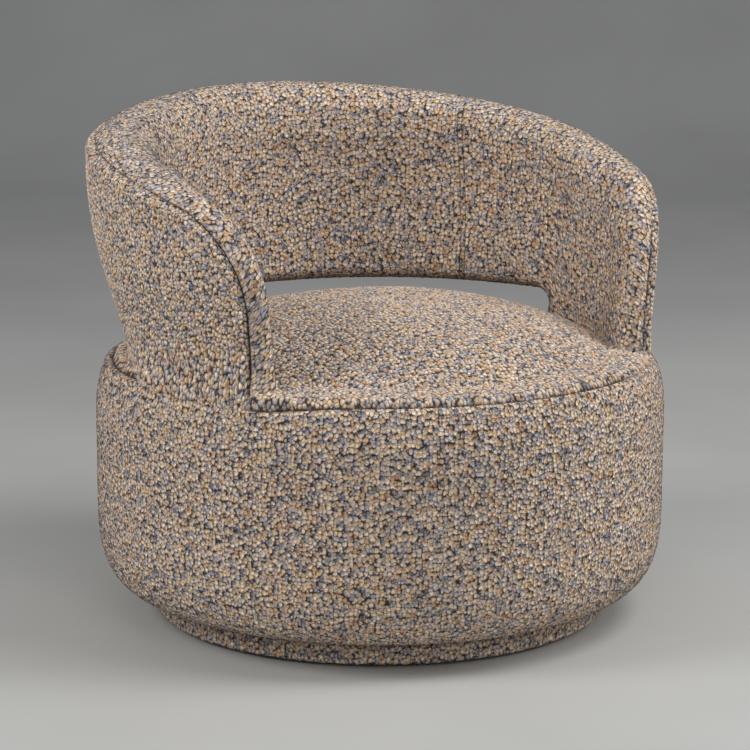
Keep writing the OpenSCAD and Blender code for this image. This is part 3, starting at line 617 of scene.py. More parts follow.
NODES_BY_FINISH: tuple[tuple[Finish, tuple[str, ...]], ...] = (
    (LayeredBoard(), (
        "plinth_board", "plinth_ring", "base_board", "frame_ribs", "top_ring", "arm_posts", "back_panel",
    )),
    (HARDBOARD, ("side_hoop",)),
    (FOAM, ("plinth_padding", "seat_foam", "drum_padding", "inner_back_foam", "outer_back_foam")),
    (WovenTape(), ("webbing_lengthwise", "webbing_crosswise")),
    (LINING, ("plinth_underlining", "underside_cloth")),
    (ZINC_SHEET, ("lower_race_plate", "upper_race_plate", "ball_cage")),
    (POLISHED_BALL, ("bearing_balls",)),
    (NYLON, ("pin_washer",)),
    (GLIDE, ("floor_glides",)),
    (ZINC_SCREW, (
        "glide_screws", "lower_plate_bolts", "lower_tee_nuts", "centre_pin", "upper_plate_bolts",
        "upper_tee_nuts", "frame_screws", "post_bolts", "post_washers", "post_nuts", "panel_screws",
    )),
)


def dress_nodes() -> None:
    """Gives every solid that stays its finish."""
    for finish, nodes in NODES_BY_FINISH:
        material = finish.make()
        for node in nodes:
            obj = bpy.data.objects[node]
            if not obj.material_slots:
                obj.data.materials.append(material)
            for place in obj.material_slots:
                place.material = material
        LOG.info("dressed %d solids in %s", len(nodes), finish.name)


# Cloth


class NubRelief:
    """Presses the nubs of the fabric into a sheet of cloth as real relief."""

    def __init__(self, nubs: NubField, depth: float = 0.0022) -> None:
        """Builds the modifier group.

        Args:
            nubs: Pattern that the material reads too.
            depth: Height of a nub over the gaps beside it, half of it under the cloth's own level.
        """
        tree = bpy.data.node_groups.new("nub_relief", "GeometryNodeTree")
        for way in ("INPUT", "OUTPUT"):
            tree.interface.new_socket("Geometry", in_out=way, socket_type="NodeSocketGeometry")
        sheet = NodeSheet(tree)
        source, result = sheet.node("NodeGroupInput"), sheet.node("NodeGroupOutput")
        cloth = sheet.node("GeometryNodeInputNamedAttribute", {0: CLOTH_MAP}, data_type="FLOAT_VECTOR")
        sewn = sheet.node("GeometryNodeInputNamedAttribute", {0: SEWN}, data_type="FLOAT").outputs[0]
        height, _, _ = nubs.lay(sheet, cloth.outputs[0], sewn)
        level = sheet.math("SUBTRACT", 1.0, sewn)
        lift = sheet.math("SUBTRACT", height, sheet.math("MULTIPLY", level, 0.5))
        normal = sheet.node("GeometryNodeInputNormal").outputs[0]
        offset = sheet.scaled(normal, sheet.math("MULTIPLY", lift, depth))
        move = sheet.node("GeometryNodeSetPosition", {"Geometry": source.outputs[0], "Offset": offset})
        tree.links.new(move.outputs[0], result.inputs[0])
        self.group = tree

    def press(self, cloth: bpy.types.Object) -> None:
        """Presses the nubs into a piece and keeps the result as its mesh.

        Args:
            cloth: The piece, bent to its place.
        """
        modifier = cloth.modifiers.new("nubs", "NODES")
        modifier.node_group = self.group
        depsgraph = bpy.context.evaluated_depsgraph_get()
        pressed = bpy.data.meshes.new_from_object(
            cloth.evaluated_get(depsgraph), preserve_all_data_layers=True, depsgraph=depsgraph
        )
        plain = cloth.data
        cloth.modifiers.clear()
        cloth.data = pressed
        pressed.name = cloth.name
        bpy.data.meshes.remove(plain)


@dataclass
class ClothMaker:
    """Cuts sheets of fabric, bends them to their place and finishes them.

    Attributes:
        fabric: Material of the cloth.
        relief: What presses the nubs in.
        pitch: Size of one face of the cloth's mesh.
    """

    fabric: bpy.types.Material
    relief: NubRelief
    pitch: float

    def stations(self, length: float, seams: tuple[float, ...] = ()) -> Array:
        """Places along a sheet where its mesh has lines, close together at the seams.

        Args:
            length: Length of the sheet.
            seams: Places of the seams along that length.

        Returns:
            Rising places from 0 to the length.
        """
        even = np.linspace(0.0, length, max(5, round(length / self.pitch)) + 1)
        if not seams:
            return even
        sewn = np.array(seams)
        clear = np.abs(even[:, None] - sewn).min(1) > SEAM_STEPS[-1] + SEAM_CLEAR
        near = (sewn[:, None] + np.concatenate([-SEAM_STEPS[::-1], [0.0], SEAM_STEPS])).ravel()
        near = near[(near >= 0.0) & (near <= length)]
        return np.unique(np.concatenate([even[clear], near]))

    def round_stations(self, girth: float) -> Array:
        """Places round a cover that is sewn shut at the back, counted from its front."""
        return self.stations(girth, (0.0, girth)) - girth / 2.0

    def cut(self, name: str, columns: int, rows: int, bend: Bend, closed: bool = False) -> bpy.types.Object:
        """Makes one cover from a flat sheet.

        Args:
            name: Name of the piece.
            columns: Lines of the mesh along the sheet.
            rows: Lines of the mesh across the sheet.
            bend: Turns the numbers of a column and a row into a place in space, a place on the
                flat cloth and the nearness of a seam.
            closed: Whether the sheet's first and last columns are sewn together.

        Returns:
            The finished piece.
        """
        shape = bmesh.new()
        bmesh.ops.create_grid(shape, x_segments=columns - 1, y_segments=rows - 1, size=0.5)
        mesh = bpy.data.meshes.new(name)
        shape.to_mesh(mesh)
        shape.free()
        flat = np.empty(len(mesh.vertices) * 3)
        mesh.vertices.foreach_get("co", flat)
        flat = flat.reshape(-1, 3) + 0.5
        column, row = (np.rint(flat[:, i] * (n - 1)).astype(int) for i, n in ((0, columns), (1, rows)))
        places, cloth, sewn = bend(column, row)
        mesh.vertices.foreach_set("co", places.ravel())
        corners = np.empty(len(mesh.loops), dtype=np.int32)
        mesh.loops.foreach_get("vertex_index", corners)
        mesh.uv_layers.new(name=CLOTH_MAP).uv.foreach_set("vector", cloth[corners].ravel())
        mesh.attributes.new(SEWN, "FLOAT", "POINT").data.foreach_set("value", unit(sewn))
        mesh.update()
        piece = bpy.data.objects.new(name, mesh)
        bpy.context.scene.collection.objects.link(piece)
        self.relief.press(piece)
        if closed:
            self.sew(piece)
        piece.data.shade_smooth()
        piece.data.materials.clear()
        piece.data.materials.append(self.fabric)
        return piece

    def sew(self, piece: bpy.types.Object) -> None:
        """Joins the two ends of a sheet that goes all the way round.

        Args:
            piece: The piece, with the nubs pressed in.
        """
        shape = bmesh.new()
        shape.from_mesh(piece.data)
        edge = [v for v in shape.verts if v.is_boundary]
        bmesh.ops.remove_doubles(shape, verts=edge, dist=SEW_REACH)
        shape.to_mesh(piece.data)
        shape.free()


def settle(piece: bpy.types.Object, body: Body, slot: str, *nodes: str) -> None:
    """Puts a piece on its body and in place of the solids that it dresses.

    Args:
        piece: The finished piece.
        body: Body that it rides on.
        slot: Not used.
        nodes: Solids that it stands for.
    """
    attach(piece, body.value)
    if nodes:
        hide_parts(*nodes)
    LOG.info("made %s with %d faces", piece.name, len(piece.data.polygons))


# Drum, seat and plinth


def round_place(reach: Array, angle: Array, height: Array) -> Array:
    """Place in space at a distance from the axis, an angle from the front and a height."""
    return np.stack([-reach * np.sin(angle), -reach * np.cos(angle), height], 1)


@dataclass
class RoundProfile:
    """A line of radii and heights that a cover follows round the swivel axis."""

    points: Array

    def __post_init__(self) -> None:
        """Measures the line."""
        self.along = run(np.hypot(*np.diff(self.points, axis=0).T))
        self.length = float(self.along[-1])
        way = np.gradient(self.points, self.along, axis=0)
        self.facing = np.stack([way[:, 1], -way[:, 0]], 1) / np.hypot(*way.T)[:, None]

    def read(self, pairs: Array, distance: Array) -> tuple[Array, Array]:
        """Reads pairs of values that belong to the points, at a distance along the line."""
        return tuple(np.interp(distance, self.along, pairs[:, i]) for i in (0, 1))

    def at(self, distance: Array) -> tuple[Array, Array]:
        """Radius and height at a distance along the line."""
        return self.read(self.points, distance)

    def normal(self, distance: Array) -> tuple[Array, Array]:
        """Outward and upward parts of the line's normal at a distance along it."""
        return self.read(self.facing, distance)


@dataclass(frozen=True)
class RimSeam:
    """The seam between seat and drum, which the arms' front feet pull down over the drum's shoulder.

    Angles are in degrees from the middle of the back.

    Attributes:
        depth, width: Size of the seam's groove.
        pressed: Width in which the nubs beside it are pressed flat.
        lip_at, lip_w: Place and width of the raised lip beside it.
        foot_angle: Where an arm's front foot stands.
        dip: How far down the shoulder the seam goes there.
        spread: Degrees in which it comes back up.
        ease_zone: Width of cloth beside the seam that gives way to it.
        hidden_from, hidden_over: Where the arms' outer cover starts to lie on the seam, and the
            degrees it takes.
        shown_past, shown_over: Degrees past the left arm's foot where the seam shows again, and
            the degrees it takes.
        right_until, right_over, right_faint: Where the seam's faint stretch on the right ends, the
            degrees it takes, and how faint it is, from 0 to 1.
        right_share: How far the right arm pulls the seam down, where the left arm does it with 1.
    """

    depth: float = 0.0030
    width: float = 0.0034
    pressed: float = 0.0031
    lip_at: float = 0.010
    lip_w: float = 0.007
    foot_angle: float = 125.0
    dip: float = 0.015
    spread: float = 13.0
    ease_zone: float = 0.060
    hidden_from: float = 87.0
    hidden_over: float = 7.0
    shown_past: float = 1.0
    shown_over: float = 5.0
    right_until: float = 152.0
    right_over: float = 6.0
    right_faint: float = 0.6
    right_share: float = 0.3

    def lowered(self, angle: Array, x: Array) -> Array:
        """How far down the shoulder the seam lies at an angle, on the side that x is on."""
        share = np.where(x > 0.0, self.right_share, 1.0)
        return self.dip * share * bell(angle - self.foot_angle, self.spread)

    def gives(self, left: Array) -> Array:
        """How much the cloth gives way to the seam at a distance from it, from 0 to 1."""
        return unit(1.0 - left / self.ease_zone)

    def shown(self, angle: Array, x: Array) -> Array:
        """How much of the seam shows beside the arms' outer cover.

        Args:
            angle: Degrees from the middle of the back.
            x: Place across the chair, above 0 on the right.

        Returns:
            A share from 0 to 1.
        """
        covered = eased(angle, self.hidden_from, self.hidden_over)
        under_arm = covered * smooth((self.foot_angle + self.shown_past - angle) / self.shown_over)
        until = smooth((self.right_until - angle) / self.right_over)
        drawn_in = self.right_faint * covered * until * (x > 0.0)
        return 1.0 - np.maximum(under_arm, drawn_in)

    def tuck(self, left: Array, lip: float) -> Array:
        """How far the cloth is drawn in at a distance from the seam, with a lip of some height."""
        return groove(left, self.depth, self.width) - groove(left - self.lip_at, lip, self.lip_w)


@dataclass
class Drum:
    """The upholstered drum below the seat.

    Attributes:
        radius, floor: Radius of its wall and height of its underside.
        corner_w, corner_h, corner_power: Width, height and fullness of its rounded lower edge.
        shoulder_w, shoulder_h: Width and height of its rounded upper edge.
        seam_h: Height of the seat seam.
        turn_in: Cloth that is turned in under the board.
        own_seam: Depth of the groove of the cover's own seam, at the back.
        lip: Height of the lip beside the seat seam.
        sway, short_sway: How far the wall wanders in its long and in its short waves.
        waves, short_waves: How often these go round.
        tuck_in, hem_in: Share of the seat seam's tuck and of the hem that goes inwards on any slope.
    """

    radius: float = 0.400
    floor: float = 0.0365
    corner_w: float = 0.104
    corner_h: float = 0.136
    corner_power: float = 3.1
    shoulder_w: float = 0.023
    shoulder_h: float = 0.070
    seam_h: float = 0.366
    turn_in: float = 0.060
    own_seam: float = 0.0025
    lip: float = 0.0016
    sway: float = 0.0008
    short_sway: float = 0.0006
    waves: int = 3
    short_waves: int = 7
    tuck_in: float = 0.25
    hem_in: float = 0.3

    def outline(self) -> RoundProfile:
        """Line of the drum's fabric from under the board up to the seat seam."""
        t = np.radians(np.linspace(0.0, 90.0, 60))
        power = 2.0 / self.corner_power
        low_r, low_z = self.radius - self.corner_w, self.floor + self.corner_h
        corner = [low_r + self.corner_w * np.sin(t) ** power, low_z - self.corner_h * np.cos(t) ** power]
        top_r, top_z = self.radius - self.shoulder_w, self.seam_h - self.shoulder_h
        shoulder = [top_r + self.shoulder_w * np.cos(t), top_z + self.shoulder_h * np.sin(t)]
        start = [[low_r - self.turn_in, self.floor]]
        return RoundProfile(np.concatenate([start, np.stack(corner, 1), np.stack(shoulder, 1)]))

    def build(self, maker: ClothMaker, rim: RimSeam) -> bpy.types.Object:
        """Makes the drum's cover, up to the seat seam.

        Args:
            maker: What cuts and finishes the cloth.
            rim: The seam that joins it to the seat's cover.

        Returns:
            The finished piece.
        """
        profile = self.outline()
        girth = 2.0 * math.pi * self.radius
        along = maker.round_stations(girth)
        across = np.append(maker.stations(profile.length, (profile.length,)), profile.length + HEM)

        def bend(column: Array, row: Array) -> tuple[Array, Array, Array]:
            """Bends the sheet round the drum, with its own seam at the back.

            Args:
                column, row: Numbers of the mesh's lines, from 0.

            Returns:
                Places in space, places on the cloth, and nearness of a seam.
            """
            u, v = along[column], across[row]
            over = np.maximum(v - profile.length, 0.0)
            angle = u / self.radius
            turned = 180.0 - np.degrees(np.abs(angle))
            left = profile.length - v
            v = np.minimum(v, profile.length) - rim.lowered(turned, -u) * rim.gives(left)
            radius, height = profile.at(v)
            out, up = profile.normal(v)
            middle = np.sin(math.pi * unit(v / profile.length))
            sway = self.sway * np.sin(self.waves * angle + 1.0)
            sway = sway + self.short_sway * np.sin(self.short_waves * angle)
            shown = rim.shown(turned, -u)
            tuck = rim.tuck(left, self.lip) * shown
            back = girth / 2.0 - np.abs(u)
            reach = radius - groove(back, self.own_seam) + sway * middle
            reach = reach - tuck * (self.tuck_in + out) - over * (self.hem_in + out)
            places = round_place(reach, angle, height - (tuck + over) * up)
            sewn = np.maximum(sewn_at(np.maximum(left, 0.0), rim.pressed) * shown, sewn_at(back))
            return places, np.stack([u, v], 1), sewn

        piece = maker.cut("drum_fabric", len(along), len(across), bend, closed=True)
        settle(piece, Body.SEAT, "boucle_fabric", "drum_cover")
        return piece


@dataclass
class Seat:
    """The tight seat: a flat ledge at the rim and a domed crown.

    Attributes:
        seam_r: Radius of the seam with the drum's cover.
        ledge_h, ledge_rise: Height of the ledge, and how far it falls towards the seam.
        crown_rise, crown_r, crown_power: Height, radius and fullness of the crown.
        lip: Height of the lip beside the seam.
        ripple, ripple_x, ripple_y: How far the cloth wanders up and down, and how quickly across
            and along the seat, in radians a metre.
        fill, fill_w: Share of the seam's dip that the padding beside it makes up for, and its width.
        fill_clear: Distance from the seam in which that padding starts.
    """

    seam_r: float = 0.377
    ledge_h: float = 0.379
    ledge_rise: float = 0.013
    crown_rise: float = 0.065
    crown_r: float = 0.320
    crown_power: float = 2.7
    lip: float = 0.0034
    ripple: float = 0.0009
    ripple_x: float = 18.0
    ripple_y: float = 14.0
    fill: float = 0.42
    fill_w: float = 0.016
    fill_clear: float = 0.008

    def height(self, radius: Array) -> Array:
        """Works out the top of the seat.

        Args:
            radius: Distance from the axis.

        Returns:
            Height over the floor.
        """
        crown = self.ledge_h + self.crown_rise * (1.0 - unit(radius / self.crown_r) ** self.crown_power)
        past = np.clip((radius - self.crown_r) / (self.seam_r - self.crown_r), 0.0, 1.2)
        return crown - self.ledge_rise * past**3

    def build(self, maker: ClothMaker, drum: RoundProfile, rim: RimSeam) -> bpy.types.Object:
        """Makes the seat's cover, down to its seam with the drum's.

        Args:
            maker: What cuts and finishes the cloth.
            drum: Outline of the drum, whose shoulder the cover follows where the seam dips.
            rim: The seam that joins it to the drum's cover.

        Returns:
            The finished piece.
        """
        width = 2.0 * self.seam_r
        side = np.concatenate([[-HEM], maker.stations(width, (0.0, width)), [width + HEM]])

        def bend(column: Array, row: Array) -> tuple[Array, Array, Array]:
            """Eases the square sheet into a disc and domes it.

            Args:
                column, row: Numbers of the mesh's lines, from 0.

            Returns:
                Places in space, places on the cloth, and nearness of a seam.
            """
            u, v = side[column], side[row]
            over = np.maximum(np.maximum(-u, u - width), np.maximum(-v, v - width)).clip(0.0)
            a, b = (np.clip(w / self.seam_r - 1.0, -1.0, 1.0) for w in (u, v))
            x = a * np.sqrt(1.0 - b * b / 2.0) * self.seam_r
            y = b * np.sqrt(1.0 - a * a / 2.0) * self.seam_r
            radius = np.maximum(np.hypot(x, y), 1e-6)
            turned = np.degrees(np.arctan2(np.abs(x), y))
            left = self.seam_r - radius
            lowered = rim.lowered(turned, x)
            reach = radius + lowered * rim.gives(left)
            beyond = np.maximum(reach - self.seam_r, 0.0)
            shoulder_r, shoulder_z = drum.at(drum.length - beyond)
            out, up = drum.normal(drum.length - beyond)
            shown = rim.shown(turned, x)
            tuck = rim.tuck(left, self.lip) * shown
            ripple = self.ripple * np.sin(self.ripple_x * x + 2.0) * np.cos(self.ripple_y * y + 0.7)
            fill = self.fill * lowered * bell(reach - self.seam_r, self.fill_w) * unit(left / self.fill_clear)
            is_over = beyond > 0.0
            level = np.where(is_over, shoulder_z, self.height(np.minimum(reach, self.seam_r)))
            scale = (np.where(is_over, shoulder_r, reach) - (tuck + over) * out) / radius
            places = np.stack([x * scale, y * scale, level + fill + ripple - (tuck + over) * up], 1)
            cloth = np.stack([x, y], 1) * (reach / radius)[:, None]
            return places, cloth, sewn_at(left, rim.pressed) * shown

        piece = maker.cut("seat_fabric", len(side), len(side), bend)
        settle(piece, Body.SEAT, "boucle_fabric", "seat_cover")
        return piece


@dataclass
class Plinth:
    """The recessed plinth's fabric.

    Attributes:
        radius, low, high: Radius of its wall and heights of its edges.
        rounding: Radius of those edges.
        inner_r: Radius that the cloth is turned in to.
        own_seam: Depth of the groove of the cover's own seam, at the back.
        bolt_at: Place on the bolt of cloth, away from where the other covers are cut.
    """

    radius: float = 0.319
    low: float = 0.005
    high: float = 0.032
    rounding: float = 0.004
    inner_r: float = 0.293
    own_seam: float = 0.0015
    bolt_at: float = 3.0

    def outline(self) -> RoundProfile:
        """Line of the plinth's fabric from under its edge to over its edge."""
        t = np.radians(np.linspace(0.0, 90.0, 12))
        middle = self.radius - self.rounding
        lower = [middle + self.rounding * np.sin(t), self.low + self.rounding * (1.0 - np.cos(t))]
        upper = [middle + self.rounding * np.cos(t), self.high - self.rounding * (1.0 - np.sin(t))]
        start, end = ([[self.inner_r, height]] for height in (self.low, self.high))
        return RoundProfile(np.concatenate([start, np.stack(lower, 1), np.stack(upper, 1), end]))

    def build(self, maker: ClothMaker) -> bpy.types.Object:
        """Makes the plinth's cover.

        Args:
            maker: What cuts and finishes the cloth.

        Returns:
            The finished piece.
        """
        profile = self.outline()
        girth = 2.0 * math.pi * self.radius
        along, across = maker.round_stations(girth), maker.stations(profile.length)

        def bend(column: Array, row: Array) -> tuple[Array, Array, Array]:
            """Bends the strip round the plinth.

            Args:
                column, row: Numbers of the mesh's lines, from 0.

            Returns:
                Places in space, places on the cloth, and nearness of a seam.
            """
            u, v = along[column], across[row]
            radius, height = profile.at(v)
            back = girth / 2.0 - np.abs(u)
            places = round_place(radius - groove(back, self.own_seam), u / self.radius, height)
            return places, np.stack([u + self.bolt_at, v], 1), sewn_at(back)

        piece = maker.cut("plinth_fabric", len(along), len(across), bend, closed=True)
        settle(piece, Body.BASE, "boucle_fabric", "plinth_cover")
        return piece


# Back and arms


@dataclass
class Band:
    """The curved band that makes the back and both arms.

    The band is first drawn flat: X runs along it from the middle of the back and Y is the height.
    Straight lines join its foot to its rim, and lie closer together towards the arms' front edges.
    They are counted from the middle of the back, below 0 on the left. A blend is the angle where
    the back's value starts to go over to the arms', and the degrees it takes.
    """

    seat: Seat

    # Crest, corners and the arms' front edges
    crest_h: float = 0.721
    crest_drop: float = 0.070
    crest_power: float = 1.8
    front_angle: float = 127.0
    front_lean: float = 0.018
    corner_run: float = 0.100
    corner_fall: float = 0.115
    foot_back: float = 0.105

    # Slot between the back and the seat, and how far its end leans
    slot_angle: float = 80.0
    slot_h: float = 0.044
    slot_corner: float = 0.024
    slot_round: float = 0.020
    slot_skew: float = 6.0
    skew_run: float = 0.150
    skew_rise: float = 0.110

    # Thickness, how it swells upwards, and how it is rounded off at the rim
    back_thick: float = 0.062
    arm_thick: float = 0.050
    thick_blend: tuple = (88.0, 28.0)
    crest_swell: float = 0.033
    arm_swell: float = 0.008
    swell_blend: tuple = (95.0, 30.0)
    edge_round: float = 0.038
    arm_round: float = 0.052
    round_blend: tuple = (92.0, 26.0)
    land: float = 0.0015

    # Outside radius at the foot and above the flare, and the radius at which lengths are true
    back_foot_r: float = 0.338
    arm_foot_r: float = 0.376
    back_top_r: float = 0.409
    arm_top_r: float = 0.392
    radius_blend: tuple = (60.0, 45.0)
    flare_h: float = 0.260
    band_r: float = 0.350

    # Foot, sunk into the seat's ledge, which flares out on the arms over the drum's shoulder
    foot_fade: float = 0.050
    foot_sink: float = 0.0020
    foot_flare: float = 0.012
    foot_flare_rise: float = 0.022
    foot_flare_in: float = 0.018
    foot_flare_blend: tuple = (86.0, 10.0)
    foot_flare_right: float = 0.25

    # Outside seam below the rim, with its welt and the place where it fades on the left arm
    seam_drop: float = 0.015
    front_seam_drop: float = 0.023
    right_seam_drop: float = 0.017
    seam_turn: float = 2.0
    welt: float = 0.0045
    welt_w: float = 0.0065
    welt_at: float = 0.0070
    fade_line: float = 7.6
    fade_lines: float = 1.15
    seam_fade: float = 0.75

    # Upright twin seams of the inner back
    seam_line: float = 4.3
    twin: float = 0.0042

    # Lines that each stretch of the rim and of the foot takes up
    crest_lines: int = 9
    corner_lines: int = 5
    front_lines: int = 4
    slot_lines: int = 6
    slot_turn_lines: int = 2
    slot_end_lines: int = 1

    def __post_init__(self) -> None:
        """Works out the flat outlines."""
        self.turned_line = self.crest_lines + self.corner_lines
        self.lines = self.turned_line + self.front_lines
        self.slot_down_line = self.slot_lines + self.slot_turn_lines
        self.slot_last_line = self.slot_down_line + self.slot_end_lines
        self.arc = self.band_r * math.pi / 180.0
        self.slot_s = self.slot_angle * self.arc
        self.slot_z = self.seat.ledge_h + self.slot_h
        self.rim_line = self.rim(np.linspace(0.0, self.lines, 217))
        self.slot_line = self.foot(np.linspace(0.0, self.slot_last_line, 181))

    def crest_z(self, angle: Array) -> Array:
        """Height of the crest at an angle from the middle of the back."""
        return self.crest_h - self.crest_drop * (np.abs(angle) / 90.0) ** self.crest_power

    def front_s(self, height: Array) -> Array:
        """Place of the leaning front edge along the band at a height."""
        ledge = self.seat.ledge_h
        return self.front_angle * self.arc - self.front_lean * (height - ledge) / (self.crest_h - ledge)

    def rim(self, line: Array) -> Array:
        """Follows the rim along the crest, round the corner and down the arm's front.

        Args:
            line: Which lines, from 0.

        Returns:
            The rim's flat place on each line.
        """
        top = float(self.crest_z(np.array(self.front_angle)))
        corner_at = float(self.front_s(np.array(top)))
        start = corner_at - self.corner_run
        low = top - self.corner_fall
        s = start * unit(line / self.crest_lines)
        crest = np.stack([s, self.crest_z(s / self.arc)], -1)
        t = unit((line - self.crest_lines) / self.corner_lines)[..., None]
        a = np.array([start, float(self.crest_z(np.array(start / self.arc)))])
        b = np.array([corner_at, top])
        c = np.array([float(self.front_s(np.array(low))), low])
        corner = a * (1 - t) ** 2 + b * 2 * t * (1 - t) + c * t * t
        z = mix(low, self.seat.ledge_h, unit((line - self.turned_line) / self.front_lines))
        front = np.stack([self.front_s(z), z], -1)
        on_crest = (line <= self.crest_lines)[..., None]
        on_corner = (line <= self.turned_line)[..., None]
        return np.where(on_crest, crest, np.where(on_corner, corner, front))

    def foot(self, line: Array) -> Array:
        """Follows the foot along the slot, down the slot's end and along the seat.

        Args:
            line: Which lines, from 0.

        Returns:
            The foot's flat place on each line.
        """
        ledge = self.seat.ledge_h
        turn_s, turn_z = self.slot_s - self.slot_corner, self.slot_z - self.slot_corner
        along = unit(line / self.slot_lines) * turn_s
        slot = np.stack([along, np.full_like(along, self.slot_z)], -1)
        t = np.radians(90.0 * unit((line - self.slot_lines) / self.slot_turn_lines))
        corner = np.array([turn_s, turn_z]) + self.slot_corner * np.stack([np.sin(t), np.cos(t)], -1)
        down = unit((line - self.slot_down_line) / self.slot_end_lines)
        end = np.stack([np.full_like(down, self.slot_s), mix(turn_z, ledge, down)], -1)
        last = self.front_angle * self.arc - self.foot_back
        t = unit((line - self.slot_last_line) / (self.lines - self.slot_last_line))
        out = np.stack([mix(self.slot_s, last, t), np.full_like(t, ledge)], -1)
        stretches = ((self.slot_last_line, end), (self.slot_down_line, corner), (self.slot_lines, slot))
        for until, shape in stretches:
            out = np.where((line <= until)[..., None], shape, out)
        return out

    def across(self, lines: Array) -> tuple[Array, Array, Array]:
        """Follows the straight lines from the rim to the foot.

        Args:
            lines: Which lines.

        Returns:
            Each line's place on the rim, its way from there to the foot, and its length.
        """
        rim, foot = self.rim(np.abs(lines)), self.foot(np.abs(lines))
        return rim, foot - rim, np.hypot(*(foot - rim).T)[:, None]

    def seam_at(self, line: Array) -> Array:
        """Places the outside seam.

        Args:
            line: Which lines.

        Returns:
            The seam's distance from the rim on each line.
        """
        t = smooth((np.abs(line) - self.crest_lines + self.seam_turn) / self.corner_lines)
        front = np.where(line > 0.0, self.right_seam_drop, self.front_seam_drop)
        return mix(self.seam_drop, front, t)

    def up(self, height: Array) -> Array:
        """How much of the flare's height lies below a height, from 0 to 1."""
        return unit((height - self.seat.ledge_h) / self.flare_h)

    def out_r(self, angle: Array, height: Array) -> Array:
        """Works out the outside of the band.

        Args:
            angle: Degrees from the middle of the back.
            height: Height over the floor.

        Returns:
            Outside radius.
        """
        t = eased(angle, *self.radius_blend)
        foot_r = mix(self.back_foot_r, self.arm_foot_r, t)
        top_r = mix(self.back_top_r, self.arm_top_r, t)
        return foot_r + (top_r - foot_r) * (1.0 - (1.0 - self.up(height)) ** 2)

    def thick(self, angle: Array, height: Array) -> Array:
        """Works out the band's full thickness, away from its edges.

        Args:
            angle: Degrees from the middle of the back.
            height: Height over the floor.

        Returns:
            Thickness.
        """
        foot = mix(self.back_thick, self.arm_thick, eased(angle, *self.thick_blend))
        swell = mix(self.crest_swell, self.arm_swell, eased(angle, *self.swell_blend))
        return foot + swell * self.up(height)

    def mid_r(self, angle: Array, height: Array) -> Array:
        """Radius of the middle of the band."""
        return self.out_r(angle, height) - self.thick(angle, height) / 2.0

    def half_thick(self, flat: Array) -> Array:
        """Rounds the band off at the rim and at the slot.

        Args:
            flat: Places on the flat drawing.

        Returns:
            Half of the thickness that is left at each place.
        """
        points = flat.reshape(-1, 2)
        angle = points[:, 0] / self.arc
        rounding = mix(self.edge_round, self.arm_round, eased(angle, *self.round_blend))
        near_rim = unit(polyline_distance(points, self.rim_line) / rounding)
        near_slot = unit(polyline_distance(points, self.slot_line) / self.slot_round)
        full = self.thick(angle, points[:, 1]) / 2.0
        left = full * np.sqrt(1.0 - (1.0 - near_rim) ** 2) * np.sqrt(1.0 - (1.0 - near_slot) ** 2)
        return np.maximum(self.land, left).reshape(flat.shape[:-1])

    def on_arm(self, flat: Array) -> Array:
        """How far flat places belong to an arm, whose foot flares out, from 0 to 1."""
        return eased(flat[..., 0] / self.arc, *self.foot_flare_blend)

    def flare(self, flat: Array, offset: Array, side: Array) -> Array:
        """Flares the arms' outer faces out over the drum's shoulder at their foot.

        Args:
            flat: Places on the flat drawing.
            offset: Distance outwards from the middle of the band.
            side: 1 for the right half and -1 for the left half.

        Returns:
            How far each place moves out.
        """
        share = np.where(side > 0.0, self.foot_flare_right, 1.0)
        rise = bell(flat[..., 1] - self.seat.ledge_h, self.foot_flare_rise)
        return self.foot_flare * share * rise * self.on_arm(flat) * unit(offset / self.foot_flare_in)

    def bent(self, flat: Array, offset: Array, side: Array) -> Array:
        """Bends flat places round the axis.

        Args:
            flat: Places on the flat drawing.
            offset: Distance outwards from the middle of the band.
            side: 1 for the right half and -1 for the left half.

        Returns:
            Places in space.
        """
        s, z = flat[..., 0], flat[..., 1]
        ledge = self.seat.ledge_h
        angle = s / self.arc
        radius = self.mid_r(angle, z) + offset + self.flare(flat, offset, side)
        beside_end = smooth(1.0 - np.abs(s - self.slot_s) / self.skew_run)
        near_end = beside_end * smooth(1.0 - (z - ledge) / self.skew_rise)
        turned = np.radians(angle - self.slot_skew * near_end * offset / (self.thick(angle, z) / 2.0))
        sunk = self.seat.height(radius) - self.foot_sink - ledge
        drop = sunk * unit(1.0 - (z - ledge) / self.foot_fade)
        return np.stack([side * radius * np.sin(turned), radius * np.cos(turned), z + drop], -1)

    def columns(self, maker: ClothMaker, seam_line: float) -> tuple[Array, Array]:
        """Lines that the sheet's columns lie on, from one arm's front edge to the other's.

        Args:
            maker: What cuts the cloth.
            seam_line: Line of the upright seam on each side.

        Returns:
            The line of each column, and its distance from the nearest upright seam.
        """
        fine = np.linspace(0.0, self.lines, 1801)
        rim, foot = (np.hypot(*np.diff(edge(fine), axis=0).T) for edge in (self.rim, self.foot))
        along = run(np.maximum(rim, foot))
        seam = float(np.interp(seam_line, fine, along))
        half = maker.stations(float(along[-1]), (seam - self.twin, seam + self.twin))
        lines = np.interp(half, along, fine)
        away = np.abs(np.abs(half - seam) - self.twin)
        return np.concatenate([-lines[:0:-1], lines]), np.concatenate([away[:0:-1], away])


